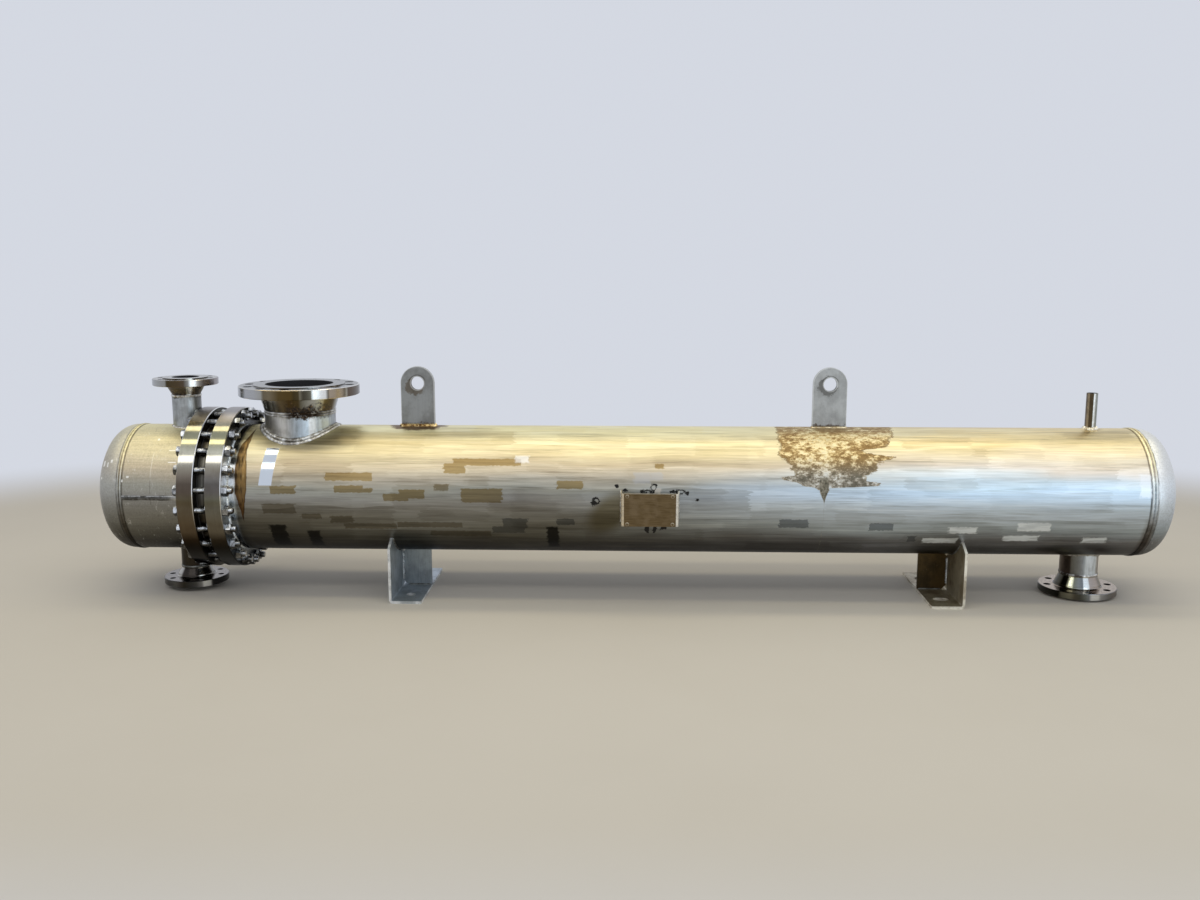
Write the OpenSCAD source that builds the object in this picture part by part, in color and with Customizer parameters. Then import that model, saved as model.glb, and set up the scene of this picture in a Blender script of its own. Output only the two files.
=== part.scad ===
// Horizontal shell and tube heat exchanger: a stainless shell on two saddles, with a flanged channel
// at the left end, a removable U-tube bundle and four flanged nozzles. Millimetres, +X along the axis
// from the channel to the shell head, +Z up, origin on the floor under the middle of the vessel.

/* [Vessel] */
// Outside diameter of the shell and the channel
shell_od = 400; // [360:1:440]
// Wall of the shell, the channel and both heads
shell_wall = 8; // [5:0.5:12]
// Length of the shell barrel, from the outer face of its flange to the head weld
shell_len = 2798; // [2400:1:3400]
// Length of the channel barrel, from the head weld to the outer face of its flange
channel_len = 199; // [190:1:300]
// Height of the shell's underside above the floor
shell_clear_h = 130; // [129:1:220]
// Straight length of each head before its knuckle
head_straight = 18; // [5:1:40]
// Crown radius of each head, outside
head_crown_r = 320; // [290:1:400]
// Knuckle radius of each head, outside
head_knuckle_r = 61.6; // [40:0.1:80]

/* [Body flanges] */
// Width of the body flanges' rings, from the shell out to their rims
body_flange_w = 56; // [50:1:66]
// Thickness of each body flange
body_flange_t = 51; // [30:1:70]
// Distance of the stud circle in from the rims of the body flanges
body_bolt_edge = 19; // [17:1:21]
// Number of studs through the body flanges
body_bolts = 24; // [12:4:28]
// Diameter of the stud holes
body_hole_d = 22; // [20:1:24]
// Edge chamfer of the body flanges
body_chamfer = 2; // [1:0.5:4]
// Distance the barrels stop short of the gasket face inside the flanges
barrel_setback = 6; // [3:1:12]

/* [Tubesheet and bundle] */
// Clearance between the edge of the tubesheet and the stud holes
tubesheet_clear = 3; // [1:0.5:8]
// Thickness of the tubesheet
tubesheet_t = 29; // [20:1:50]
// Thickness of each gasket
gasket_t = 3; // [1.5:0.5:5]
// Outside diameter of the tubes
tube_od = 25; // [16:1:28]
// Square pitch of the tubes
tube_pitch = 32; // [31:1:38]
// Least distance of a tube's axis from the shell's bore
tube_margin = 20; // [17:1:40]
// Distance from the shell head weld back to the start of the U bends
bend_back = 95; // [90:1:200]
// Thickness of the pass partition in the channel
partition_t = 10; // [6:1:16]

/* [Channel nozzles] */
// Distance of both channel nozzles from the channel head weld
channel_nozzle_x = 148; // [100:1:150]
// Height of the upper channel nozzle's face above the shell's top
channel_top_rise = 154; // [130:1:220]
// Depth of the lower channel nozzle's face below the shell's underside
channel_bottom_drop = 118; // [100:1:126]
// Outside diameter of the channel nozzle pipe
channel_pipe_od = 88.9; // [76.1:0.1:101.6]
// Wall of the channel nozzle pipe
channel_pipe_wall = 4; // [3:0.5:6]
// Outside diameter of the channel nozzle flange
channel_flange_od = 200; // [195:1:204]
// Thickness of the channel nozzle flange
channel_flange_t = 24; // [18:1:28]
// Diameter of the raised face
channel_face_d = 138; // [130:1:140]
// Diameter of the hub at the flange
channel_hub_d = 112; // [105:1:118]
// Length from the face to the butt weld
channel_neck_h = 58; // [50:1:64]
// Bolt circle of the channel nozzle flange
channel_pcd = 160; // [156:1:164]
// Number of bolt holes in the channel nozzle flange
channel_holes = 8; // [4:4:8]
// Diameter of the bolt holes
channel_hole_d = 18; // [14:1:20]

/* [Shell inlet nozzle] */
// Distance of the inlet from the outer face of the shell flange
inlet_x = 178; // [170:1:190]
// Height of the inlet's face above the shell's top
inlet_rise = 134; // [120:1:220]
// Outside diameter of the inlet pipe
inlet_pipe_od = 219.1; // [210:0.1:225]
// Wall of the inlet pipe
inlet_pipe_wall = 6.3; // [4:0.1:10]
// Outside diameter of the inlet flange
inlet_flange_od = 375; // [370:1:385]
// Thickness of the inlet flange
inlet_flange_t = 34; // [24:1:40]
// Diameter of the inlet's raised face
inlet_face_d = 285; // [270:1:288]
// Diameter of the inlet's hub at the flange
inlet_hub_d = 244; // [232:1:250]
// Length from the inlet's face to the butt weld
inlet_neck_h = 88; // [70:1:95]
// Bolt circle of the inlet flange
inlet_pcd = 320; // [318:1:326]
// Number of bolt holes in the inlet flange
inlet_holes = 12; // [8:4:12]
// Diameter of the inlet's bolt holes
inlet_hole_d = 30; // [22:1:32]

/* [Shell outlet nozzle] */
// Distance of the outlet back from the shell head weld
outlet_back = 134; // [125:1:200]
// Depth of the outlet's face below the shell's underside
outlet_drop = 127; // [110:1:129]
// Outside diameter of the outlet pipe
outlet_pipe_od = 114.3; // [101.6:0.1:120]
// Wall of the outlet pipe
outlet_pipe_wall = 5; // [3:0.5:8]
// Outside diameter of the outlet flange
outlet_flange_od = 235; // [230:1:245]
// Thickness of the outlet flange
outlet_flange_t = 24; // [20:1:30]
// Diameter of the outlet's raised face
outlet_face_d = 162; // [150:1:166]
// Diameter of the outlet's hub at the flange
outlet_hub_d = 138; // [130:1:144]
// Length from the outlet's face to the butt weld
outlet_neck_h = 65; // [55:1:72]
// Bolt circle of the outlet flange
outlet_pcd = 190; // [188:1:196]
// Number of bolt holes in the outlet flange
outlet_holes = 8; // [4:4:8]
// Diameter of the outlet's bolt holes
outlet_hole_d = 22; // [18:1:24]

/* [Raised faces and vent] */
// Height of every raised face, part of the flange's thickness
face_step = 3; // [1:0.5:4]
// Edge chamfer of the nozzle flanges
flange_chamfer = 1.5; // [0.5:0.5:3]
// Radius between a flange's back and its hub
hub_fillet_r = 8; // [4:1:10]
// Straight length of a hub at its butt weld
weld_land = 6; // [3:1:8]
// Distance of the vent back from the shell head weld
vent_back = 128; // [100:1:200]
// Height of the vent's end above the shell's top
vent_rise = 112; // [60:1:140]
// Outside diameter of the vent pipe
vent_od = 33.7; // [26.9:0.1:42.4]
// Wall of the vent pipe
vent_wall = 3; // [2:0.5:4]

/* [Lifting lugs] */
// Distance of the left lug from the outer face of the shell flange
lug_left_x = 557; // [450:1:700]
// Distance of the right lug back from the shell head weld
lug_right_back = 941; // [700:1:1100]
// Width of each lug plate, which is also the diameter of its round top
lug_w = 106; // [90:1:130]
// Thickness of each lug plate
lug_t = 15; // [8:1:25]
// Height of the lug's eye above the shell's top
lug_eye_rise = 136; // [90:1:160]
// Diameter of the lug's eye
lug_eye_d = 42; // [30:1:50]

/* [Saddles] */
// Distance of the left saddle's upright plate from the outer face of the shell flange
saddle_left_x = 488; // [400:1:800]
// Distance of the right saddle's upright plate back from the shell head weld
saddle_right_back = 543; // [400:1:800]
// Width of each saddle across the vessel
saddle_w = 390; // [360:1:420]
// Length of each foot along the vessel
saddle_foot_len = 100; // [80:1:140]
// Thickness of the saddle plates
saddle_t = 8; // [6:1:14]
// Outer radius of the bend between the upright plate and the foot
saddle_bend_r = 12; // [10:1:20]
// Height of the upright plate's side edges above the floor
saddle_side_h = 174; // [150:1:190]
// Rise of the slanted shoulders from the side edges up to the shell
saddle_shoulder_h = 25; // [15:1:30]
// Run of the slanted shoulders across the vessel
saddle_shoulder_w = 45; // [40:1:60]
// Corner cope of the web
web_cope = 14; // [8:1:20]
// Distance between the two anchor holes of a saddle
anchor_spacing = 236; // [180:1:320]
// Diameter of the round anchor holes and width of the slots
anchor_d = 30; // [22:1:34]
// Length of the anchor slots in the sliding saddle
anchor_slot_len = 48; // [36:1:60]

/* [Nameplate] */
// Distance of the nameplate's middle from the outer face of the shell flange
plate_x = 1293; // [900:1:1600]
// Angle of the nameplate below the horizontal
plate_tilt = 5; // [0:1:30]
// Width of the nameplate bracket along the vessel
bracket_w = 176; // [160:1:220]
// Height of the nameplate bracket
bracket_h = 102; // [80:1:120]
// Stand-off of the bracket's face from the shell
bracket_gap = 34; // [20:1:45]
// Thickness of the bracket
bracket_t = 4; // [2:1:6]
// Outer radius of the bracket's bends
bracket_bend_r = 8; // [6:1:12]
// Thickness of the nameplate
nameplate_t = 1.5; // [1:0.5:3]
// Margin between the nameplate and the bracket's sides
nameplate_margin = 10; // [8:1:20]

/* [Hidden] */

$fn = 96;
shell_r = shell_od / 2;
bore_r = shell_r - shell_wall;
body_flange_r = shell_r + body_flange_w;
body_pcd = 2 * (body_flange_r - body_bolt_edge);
tubesheet_od = body_pcd - body_hole_d - 2 * tubesheet_clear;
tube_limit_r = bore_r - tube_margin;
joint_gap = tubesheet_t + 2 * gasket_t;
reach = shell_od;

// Heights and depths from the vessel axis
axis_h = shell_clear_h + shell_r;
channel_top_h = shell_r + channel_top_rise;
channel_bottom_h = shell_r + channel_bottom_drop;
inlet_h = shell_r + inlet_rise;
outlet_h = shell_r + outlet_drop;
vent_h = shell_r + vent_rise;
lug_eye_h = shell_r + lug_eye_rise;

// Places along the axis, from the middle of the vessel
channel_weld_x = -(channel_len + 2 * body_flange_t + joint_gap + shell_len) / 2;
channel_flange_x = channel_weld_x + channel_len;
channel_seat_x = channel_flange_x + body_flange_t;
tubesheet_x = channel_seat_x + gasket_t;
shell_gasket_x = tubesheet_x + tubesheet_t;
shell_seat_x = shell_gasket_x + gasket_t;
shell_flange_x = shell_seat_x + body_flange_t;
shell_weld_x = shell_flange_x + shell_len;
channel_nozzle_at = channel_weld_x + channel_nozzle_x;
inlet_at = shell_flange_x + inlet_x;
outlet_at = shell_weld_x - outlet_back;
vent_at = shell_weld_x - vent_back;

// Turns a shape drawn along +Z so that it runs along +X on the vessel axis
module along_axis(x) { translate([x, 0, axis_h]) rotate([0, 90, 0]) children(); }

// A plain ring or tube along the vessel axis
module axis_tube(x, len, r_out, r_in) {
    along_axis(x) difference() {
        cylinder(r = r_out, h = len);
        translate([0, 0, -1]) cylinder(r = r_in, h = len + 2);
    }
}

// The vessel's outside or inside as one long cylinder, used to trim what meets it
module axis_bar(r) { along_axis(channel_weld_x) cylinder(r = r, h = shell_weld_x - channel_weld_x); }

// Half profile of a dished head: a crown arc and a knuckle arc on a straight skirt, filled to the axis
module head_half(shrink) {
    crown = head_crown_r - shrink;
    knuckle = head_knuckle_r - shrink;
    side = shell_r - head_knuckle_r;
    centre = -sqrt(pow(head_crown_r - head_knuckle_r, 2) - pow(side, 2));
    lean = asin(side / (head_crown_r - head_knuckle_r));
    translate([0, -head_straight]) square([shell_r - shrink, head_straight]);
    intersection() {
        translate([side, 0]) circle(r = knuckle);
        square([shell_r, head_crown_r]);
    }
    intersection() {
        translate([0, centre]) circle(r = crown);
        polygon([[0, 0], [side, 0], [side + head_crown_r * tan(lean), head_crown_r], [0, head_crown_r]]);
    }
}

module dished_head() {
    rotate_extrude() difference() {
        head_half(0);
        head_half(shell_wall);
    }
}

// A flat slip-on ring that the barrel is welded into, with its stud holes
module body_flange(x) {
    along_axis(x) difference() {
        rotate_extrude() polygon([
            [shell_r, 0], [body_flange_r - body_chamfer, 0], [body_flange_r, body_chamfer],
            [body_flange_r, body_flange_t - body_chamfer],
            [body_flange_r - body_chamfer, body_flange_t], [shell_r, body_flange_t]
        ]);
        for (i = [0 : body_bolts - 1]) rotate([0, 0, (i + 0.5) * 360 / body_bolts])
            translate([body_pcd / 2, 0, -1]) cylinder(d = body_hole_d, h = body_flange_t + 2);
    }
}

// A weld neck flange with its raised face at z = 0, facing up
module weld_neck(pipe_od, pipe_wall, od, thick, face_d, hub_d, neck_h, pcd, holes, hole_d) {
    pipe_r = pipe_od / 2;
    hub_r = hub_d / 2;
    difference() {
        rotate_extrude() difference() {
            polygon([
                [pipe_r - pipe_wall, 0], [face_d / 2, 0], [face_d / 2, -face_step],
                [od / 2 - flange_chamfer, -face_step], [od / 2, -face_step - flange_chamfer],
                [od / 2, -thick + flange_chamfer], [od / 2 - flange_chamfer, -thick],
                [hub_r + hub_fillet_r, -thick], [hub_r + hub_fillet_r, -thick - hub_fillet_r],
                [hub_r, -thick - hub_fillet_r], [pipe_r, -neck_h + weld_land], [pipe_r, -neck_h],
                [pipe_r - pipe_wall, -neck_h]
            ]);
            translate([hub_r + hub_fillet_r, -thick - hub_fillet_r]) circle(r = hub_fillet_r);
        }
        for (i = [0 : holes - 1]) rotate([0, 0, i * 360 / holes])
            translate([pcd / 2, 0, -thick - hub_fillet_r]) cylinder(d = hole_d, h = thick + hub_fillet_r + 1);
    }
}

// A nozzle pipe from the inside of the vessel wall to its butt weld, drawn upwards on the vessel axis
module nozzle_pipe(x, od, wall, top) {
    difference() {
        translate([x, 0, axis_h]) cylinder(d = od, h = top);
        translate([x, 0, axis_h - 1]) cylinder(d = od - 2 * wall, h = top + 2);
        axis_bar(bore_r);
    }
}

// Mirrors what is drawn above the vessel axis to below it
module below_axis() { translate([0, 0, 2 * axis_h]) mirror([0, 0, 1]) children(); }

module vertical_bore(x, r) { translate([x, 0, axis_h]) cylinder(r = r, h = reach); }

module channel_head() {
    color("silver") translate([channel_weld_x - head_straight, 0, axis_h]) rotate([0, -90, 0]) dished_head();
}

module channel_barrel() {
    color("silver") difference() {
        axis_tube(channel_weld_x, channel_len + body_flange_t - barrel_setback, shell_r, bore_r);
        vertical_bore(channel_nozzle_at, channel_pipe_od / 2);
        below_axis() vertical_bore(channel_nozzle_at, channel_pipe_od / 2);
    }
}

module channel_flange() { color("lightgray") body_flange(channel_flange_x); }

module shell_flange() { color("lightgray") body_flange(shell_seat_x); }

module gasket_ring(x) { axis_tube(x, gasket_t, tubesheet_od / 2, shell_r); }

module channel_gasket() { color("dimgray") gasket_ring(channel_seat_x); }

module shell_gasket() { color("dimgray") gasket_ring(shell_gasket_x); }

module tubesheet() { color("gray") along_axis(tubesheet_x) cylinder(d = tubesheet_od, h = tubesheet_t); }

// A level plate that parts the channel between its upper and lower nozzle
module pass_partition() {
    color("gray") translate([channel_weld_x, -bore_r, axis_h - partition_t / 2])
        intersection() {
            cube([tubesheet_x - channel_weld_x, 2 * bore_r, partition_t]);
            translate([0, bore_r, partition_t / 2]) rotate([0, 90, 0])
                cylinder(r = bore_r, h = tubesheet_x - channel_weld_x);
        }
}

// One U tube: two straight legs joined by a half ring
module u_tube(y, z, len) {
    translate([tubesheet_x + tubesheet_t, y, axis_h]) {
        for (side = [-1, 1]) translate([0, 0, side * z]) rotate([0, 90, 0]) cylinder(d = tube_od, h = len);
        translate([len, 0, 0]) rotate([90, 0, 0]) rotate([0, 0, -90])
            rotate_extrude(angle = 180) translate([z, 0]) circle(d = tube_od);
    }
}

module tube_bundle() {
    rows = floor(tube_limit_r / tube_pitch);
    len = shell_weld_x - bend_back - tubesheet_x - tubesheet_t;
    color("slategray") for (i = [-rows : rows - 1], k = [0 : rows]) {
        y = (i + 0.5) * tube_pitch;
        z = (k + 0.5) * tube_pitch;
        if (norm([y, z]) <= tube_limit_r) u_tube(y, z, len);
    }
}

module shell_barrel() {
    start = shell_seat_x + barrel_setback;
    color("silver") difference() {
        axis_tube(start, shell_weld_x - start, shell_r, bore_r);
        vertical_bore(inlet_at, inlet_pipe_od / 2);
        vertical_bore(vent_at, vent_od / 2);
        below_axis() vertical_bore(outlet_at, outlet_pipe_od / 2);
    }
}

module shell_head() {
    color("silver") translate([shell_weld_x + head_straight, 0, axis_h]) rotate([0, 90, 0]) dished_head();
}

module channel_neck() {
    weld_neck(channel_pipe_od, channel_pipe_wall, channel_flange_od, channel_flange_t, channel_face_d,
        channel_hub_d, channel_neck_h, channel_pcd, channel_holes, channel_hole_d);
}

module channel_top_pipe() {
    color("gray") nozzle_pipe(channel_nozzle_at, channel_pipe_od, channel_pipe_wall,
        channel_top_h - channel_neck_h);
}

module channel_top_flange() {
    color("lightgray") translate([channel_nozzle_at, 0, axis_h + channel_top_h]) channel_neck();
}

module channel_bottom_pipe() {
    color("gray") below_axis() nozzle_pipe(channel_nozzle_at, channel_pipe_od, channel_pipe_wall,
        channel_bottom_h - channel_neck_h);
}

module channel_bottom_flange() {
    color("lightgray") below_axis() translate([channel_nozzle_at, 0, axis_h + channel_bottom_h])
        channel_neck();
}

module shell_inlet_pipe() {
    color("gray") nozzle_pipe(inlet_at, inlet_pipe_od, inlet_pipe_wall, inlet_h - inlet_neck_h);
}

module shell_inlet_flange() {
    color("lightgray") translate([inlet_at, 0, axis_h + inlet_h])
        weld_neck(inlet_pipe_od, inlet_pipe_wall, inlet_flange_od, inlet_flange_t, inlet_face_d,
            inlet_hub_d, inlet_neck_h, inlet_pcd, inlet_holes, inlet_hole_d);
}

module shell_outlet_pipe() {
    color("gray") below_axis()
        nozzle_pipe(outlet_at, outlet_pipe_od, outlet_pipe_wall, outlet_h - outlet_neck_h);
}

module shell_outlet_flange() {
    color("lightgray") below_axis() translate([outlet_at, 0, axis_h + outlet_h])
        weld_neck(outlet_pipe_od, outlet_pipe_wall, outlet_flange_od, outlet_flange_t, outlet_face_d,
            outlet_hub_d, outlet_neck_h, outlet_pcd, outlet_holes, outlet_hole_d);
}

module vent_pipe() { color("gray") nozzle_pipe(vent_at, vent_od, vent_wall, vent_h); }

// A plate with a round top about its eye, standing on the shell along the vessel
module lug(x) {
    difference() {
        translate([x, lug_t / 2, axis_h]) rotate([90, 0, 0]) union() {
            translate([-lug_w / 2, 0, 0]) cube([lug_w, lug_eye_h, lug_t]);
            translate([0, lug_eye_h, 0]) cylinder(d = lug_w, h = lug_t);
        }
        translate([x, lug_t, axis_h + lug_eye_h]) rotate([90, 0, 0]) cylinder(d = lug_eye_d, h = 2 * lug_t);
        axis_bar(shell_r);
    }
}

module lug_left() { color("gray") lug(shell_flange_x + lug_left_x); }

module lug_right() { color("gray") lug(shell_weld_x - lug_right_back); }

// Side view of the bent saddle plate: an upright, a bend and a foot
module saddle_fold() {
    translate([0, saddle_bend_r]) square([saddle_t, axis_h]);
    translate([saddle_bend_r, 0]) square([saddle_foot_len - saddle_bend_r, saddle_t]);
    intersection() {
        translate([saddle_bend_r, saddle_bend_r]) difference() {
            circle(r = saddle_bend_r);
            circle(r = saddle_bend_r - saddle_t);
        }
        square([saddle_bend_r, saddle_bend_r]);
    }
}

// Outline of the saddle seen along the vessel, up to its slanted shoulders
module saddle_outline() {
    half = saddle_w / 2;
    top = saddle_side_h + saddle_shoulder_h;
    polygon([
        [-half, 0], [half, 0], [half, saddle_side_h], [half - saddle_shoulder_w, top],
        [-half + saddle_shoulder_w, top], [-half, saddle_side_h]
    ]);
}

// One anchor hole in the foot, round or stretched along the vessel
module anchor_hole(length) {
    travel = (length - anchor_d) / 2;
    for (side = [-1, 1]) translate([side * travel, 0, -1]) cylinder(d = anchor_d, h = saddle_t + 2);
    if (travel > 0) translate([-travel, -anchor_d / 2, -1]) cube([2 * travel, anchor_d, saddle_t + 2]);
}

// The bent plate of a saddle, with its upright at x = 0 and its foot towards +X
module saddle_plate(slot_len) {
    foot_middle = (saddle_foot_len + saddle_t) / 2;
    difference() {
        intersection() {
            translate([0, saddle_w / 2, 0]) rotate([90, 0, 0]) linear_extrude(saddle_w) saddle_fold();
            rotate([90, 0, 90]) linear_extrude(saddle_foot_len) saddle_outline();
        }
        for (side = [-1, 1]) translate([foot_middle, side * anchor_spacing / 2, 0]) anchor_hole(slot_len);
        translate([-1, 0, axis_h]) rotate([0, 90, 0]) cylinder(r = shell_r, h = saddle_foot_len + 2);
    }
}

// The upright web on the vessel's centre line, from the foot to the shell, with two coped corners
module saddle_web() {
    top = axis_h - shell_r / 2;
    difference() {
        translate([0, saddle_t / 2, 0]) rotate([90, 0, 0]) linear_extrude(saddle_t) polygon([
            [saddle_t, saddle_t + web_cope], [saddle_t + web_cope, saddle_t], [saddle_foot_len, saddle_t],
            [saddle_foot_len, top], [saddle_t + web_cope, top],
            [saddle_t + web_cope, axis_h - shell_r], [saddle_t, axis_h - shell_r - web_cope]
        ]);
        translate([-1, 0, axis_h]) rotate([0, 90, 0]) cylinder(r = shell_r, h = saddle_foot_len + 2);
    }
}

module at_left_saddle() { translate([shell_flange_x + saddle_left_x, 0, 0]) children(); }

module at_right_saddle() { translate([shell_weld_x - saddle_right_back, 0, 0]) mirror([1, 0, 0]) children(); }

module saddle_left_plate() { color("lightsteelblue") at_left_saddle() saddle_plate(anchor_d); }

module saddle_left_web() { color("lightsteelblue") at_left_saddle() saddle_web(); }

module saddle_right_plate() { color("tan") at_right_saddle() saddle_plate(anchor_slot_len); }

module saddle_right_web() { color("tan") at_right_saddle() saddle_web(); }

// Places a shape drawn towards -Y on the vessel axis at the nameplate's tilt
module at_nameplate() {
    translate([shell_flange_x + plate_x, 0, axis_h]) rotate([plate_tilt, 0, 0]) children();
}

// Plan of the bracket: a face with two legs bent back to the shell
module bracket_plan(depth) {
    half = bracket_w / 2;
    inner_r = bracket_bend_r - bracket_t;
    difference() {
        union() {
            translate([-half, bracket_bend_r]) square([bracket_w, depth - bracket_bend_r]);
            translate([-half + bracket_bend_r, 0]) square([bracket_w - 2 * bracket_bend_r, depth]);
            for (side = [-1, 1]) translate([side * (half - bracket_bend_r), bracket_bend_r])
                circle(r = bracket_bend_r);
        }
        translate([-half + bracket_t, bracket_bend_r])
            square([bracket_w - 2 * bracket_t, depth]);
        translate([-half + bracket_bend_r, bracket_t])
            square([bracket_w - 2 * bracket_bend_r, depth]);
        for (side = [-1, 1]) translate([side * (half - bracket_bend_r), bracket_bend_r])
            circle(r = inner_r);
    }
}

module nameplate_bracket() {
    face = shell_r + bracket_gap;
    color("gray") difference() {
        at_nameplate() translate([0, -face, -bracket_h / 2]) linear_extrude(bracket_h)
            bracket_plan(face - shell_r / 2);
        axis_bar(shell_r);
    }
}

module nameplate() {
    w = bracket_w - 2 * nameplate_margin;
    color("saddlebrown") at_nameplate()
        translate([-w / 2, -shell_r - bracket_gap - nameplate_t, -bracket_h / 2])
            cube([w, nameplate_t, bracket_h]);
}

channel_head();
channel_barrel();
channel_flange();
channel_gasket();
pass_partition();
tubesheet();
tube_bundle();
shell_gasket();
shell_flange();
shell_barrel();
shell_head();
channel_top_pipe();
channel_top_flange();
channel_bottom_pipe();
channel_bottom_flange();
shell_inlet_pipe();
shell_inlet_flange();
shell_outlet_pipe();
shell_outlet_flange();
vent_pipe();
lug_left();
lug_right();
saddle_left_plate();
saddle_left_web();
saddle_right_plate();
saddle_right_web();
nameplate_bracket();
nameplate();
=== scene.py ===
import math
from types import SimpleNamespace
import bpy
import bmesh
import numpy as np
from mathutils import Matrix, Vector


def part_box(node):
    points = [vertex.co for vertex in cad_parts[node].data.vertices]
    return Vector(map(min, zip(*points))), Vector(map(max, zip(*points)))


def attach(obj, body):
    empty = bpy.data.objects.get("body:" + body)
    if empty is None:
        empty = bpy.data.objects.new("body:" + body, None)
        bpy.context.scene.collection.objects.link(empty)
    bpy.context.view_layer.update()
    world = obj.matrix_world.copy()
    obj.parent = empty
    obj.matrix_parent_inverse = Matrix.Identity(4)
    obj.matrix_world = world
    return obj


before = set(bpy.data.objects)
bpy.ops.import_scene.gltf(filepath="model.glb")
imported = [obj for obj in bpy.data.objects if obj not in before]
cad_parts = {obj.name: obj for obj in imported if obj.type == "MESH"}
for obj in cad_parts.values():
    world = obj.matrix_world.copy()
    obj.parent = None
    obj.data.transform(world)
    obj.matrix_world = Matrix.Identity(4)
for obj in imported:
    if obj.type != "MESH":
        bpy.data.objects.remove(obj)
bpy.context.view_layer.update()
mm = 0.001
turn = 2 * math.pi


def boxOf(node):  # lowest and highest corner of a CAD node, in metres
    low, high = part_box(node)
    return np.array(low), np.array(high)


shellLow, shellHigh = boxOf("shell_barrel")
vessel = {
    "radius": (shellHigh[2] - shellLow[2]) / 2,
    "axisZ": (shellHigh[2] + shellLow[2]) / 2,
    "channelWeldX": boxOf("channel_barrel")[0][0],
    "shellWeldX": shellHigh[0],
    "flangeRadius": boxOf("shell_flange")[1][1],
    "channelFlange": [corner[0] for corner in boxOf("channel_flange")],
    "shellFlange": [corner[0] for corner in boxOf("shell_flange")],
}
print("frame loaded, vessel", {key: np.round(value, 4).tolist() for key, value in vessel.items()})

# The camera, at the height and distance that the photograph was taken from
view = {
    "place": (0.0209, -3.5331, 1.0349),
    "downDegrees": 9.333,
    "leftDegrees": 1.885,
    "lens": 33.738,
    "sensor": 36.0,
}
cameraData = bpy.data.cameras.new("viewCamera")
cameraData.sensor_fit = "HORIZONTAL"
cameraData.sensor_width = view["sensor"]
cameraData.lens = view["lens"]
camera = bpy.data.objects.new("viewCamera", cameraData)
camera.location = view["place"]
camera.rotation_euler = (math.radians(90 - view["downDegrees"]), 0, math.radians(view["leftDegrees"]))
bpy.context.scene.collection.objects.link(camera)
bpy.context.scene.camera = camera
bpy.context.scene.view_settings.view_transform = "Standard"
print("camera placed")


# Small tools for shader nodes. New nodes go into the tree on the bench, where each material puts its own
bench = {}


# A number, vector or colour that varies over the surface: it holds the socket that gives it, and arithmetic
# on it adds a node of its kind
class varying:
    __array_ufunc__ = None  # keeps numpy from doing the arithmetic

    def __init__(self, socket, kind="Math"):
        self.socket = socket
        self.kind = kind

    def __add__(self, other):
        return calc("ADD", self, other)

    def __radd__(self, other):
        return calc("ADD", other, self)

    def __sub__(self, other):
        return calc("SUBTRACT", self, other)

    def __rsub__(self, other):
        return calc("SUBTRACT", other, self)

    def __mul__(self, other):
        return calc("MULTIPLY", self, other)

    def __truediv__(self, other):
        return calc("DIVIDE", self, other)

    def __pow__(self, other):
        return calc("POWER", self, other)

    def __neg__(self):
        return calc("MULTIPLY", self, -1.0)

    def __abs__(self):
        return calc("ABSOLUTE", self)


def fill(socket, value):  # links a socket to what varies, or sets it to a fixed value
    if isinstance(value, varying):
        value = value.socket
    if isinstance(value, bpy.types.NodeSocket):
        bench["tree"].links.new(value, socket)
    else:
        socket.default_value = value


def addNode(kind, inputs={}, **settings):
    made = bench["tree"].nodes.new("ShaderNode" + kind)
    for key, value in settings.items():
        setattr(made, key, value)
    for key, value in inputs.items():
        fill(made.inputs[key], value)
    return made


def calc(operation, *values):
    kind = values[0].kind if isinstance(values[0], varying) else "Math"
    return varying(addNode(kind, dict(enumerate(values)), operation=operation).outputs[0], kind)


def larger(first, second):
    return calc("MAXIMUM", first, second)


def smaller(first, second):
    return calc("MINIMUM", first, second)


def squareRoot(value):
    return calc("SQRT", value)


def lengthOf(vector):
    return varying(addNode("VectorMath", {0: vector}, operation="LENGTH").outputs["Value"])


def dot(first, second):
    return varying(addNode("VectorMath", {0: first, 1: second}, operation="DOT_PRODUCT").outputs["Value"])


def split(vector):  # its x, y and z
    return [varying(part) for part in addNode("SeparateXYZ", {0: vector}).outputs]


def joined(x, y):
    return varying(addNode("CombineXYZ", {0: x, 1: y}).outputs[0], "VectorMath")


def blend(factor, first, second):  # of two numbers
    return varying(addNode("Mix", {0: factor, 2: first, 3: second}).outputs[0])


def remap(value, low, high, toLow=0.0, toHigh=1.0, kind="SMOOTHSTEP"):
    inputs = {"Value": value, "From Min": low, "From Max": high, "To Min": toLow, "To Max": toHigh}
    return varying(addNode("MapRange", inputs, interpolation_type=kind).outputs["Result"])


def colour(values):  # three numbers become a colour with alpha
    return (*values, 1.0)


def grey(value):
    return (value, value, value)


def tint(factor, first, second, mode="MIX"):  # blends two colours, either of them fixed or varying
    first, second = (tone if isinstance(tone, varying) else colour(tone) for tone in (first, second))
    inputs = {0: factor, 6: first, 7: second}
    return varying(addNode("Mix", inputs, data_type="RGBA", blend_type=mode).outputs[2], "VectorMath")


def darken(factor, tone, by):
    return tint(factor, tone, by, "MULTIPLY")


def colourRamp(value, stops, kind="VectorMath"):  # stops are (place, colour) pairs in rising order
    made = addNode("ValToRGB", {"Fac": value})
    elements = made.color_ramp.elements
    while len(elements) < len(stops):
        elements.new(1.0)
    for element, (place, tone) in zip(elements, stops):
        element.position = place
        element.color = colour(tone)
    return varying(made.outputs["Color"], kind)


def valueRamp(value, stops):  # the same for plain numbers from 0 to 1
    return colourRamp(value, [(place, grey(number)) for place, number in stops], "Math")


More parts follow.
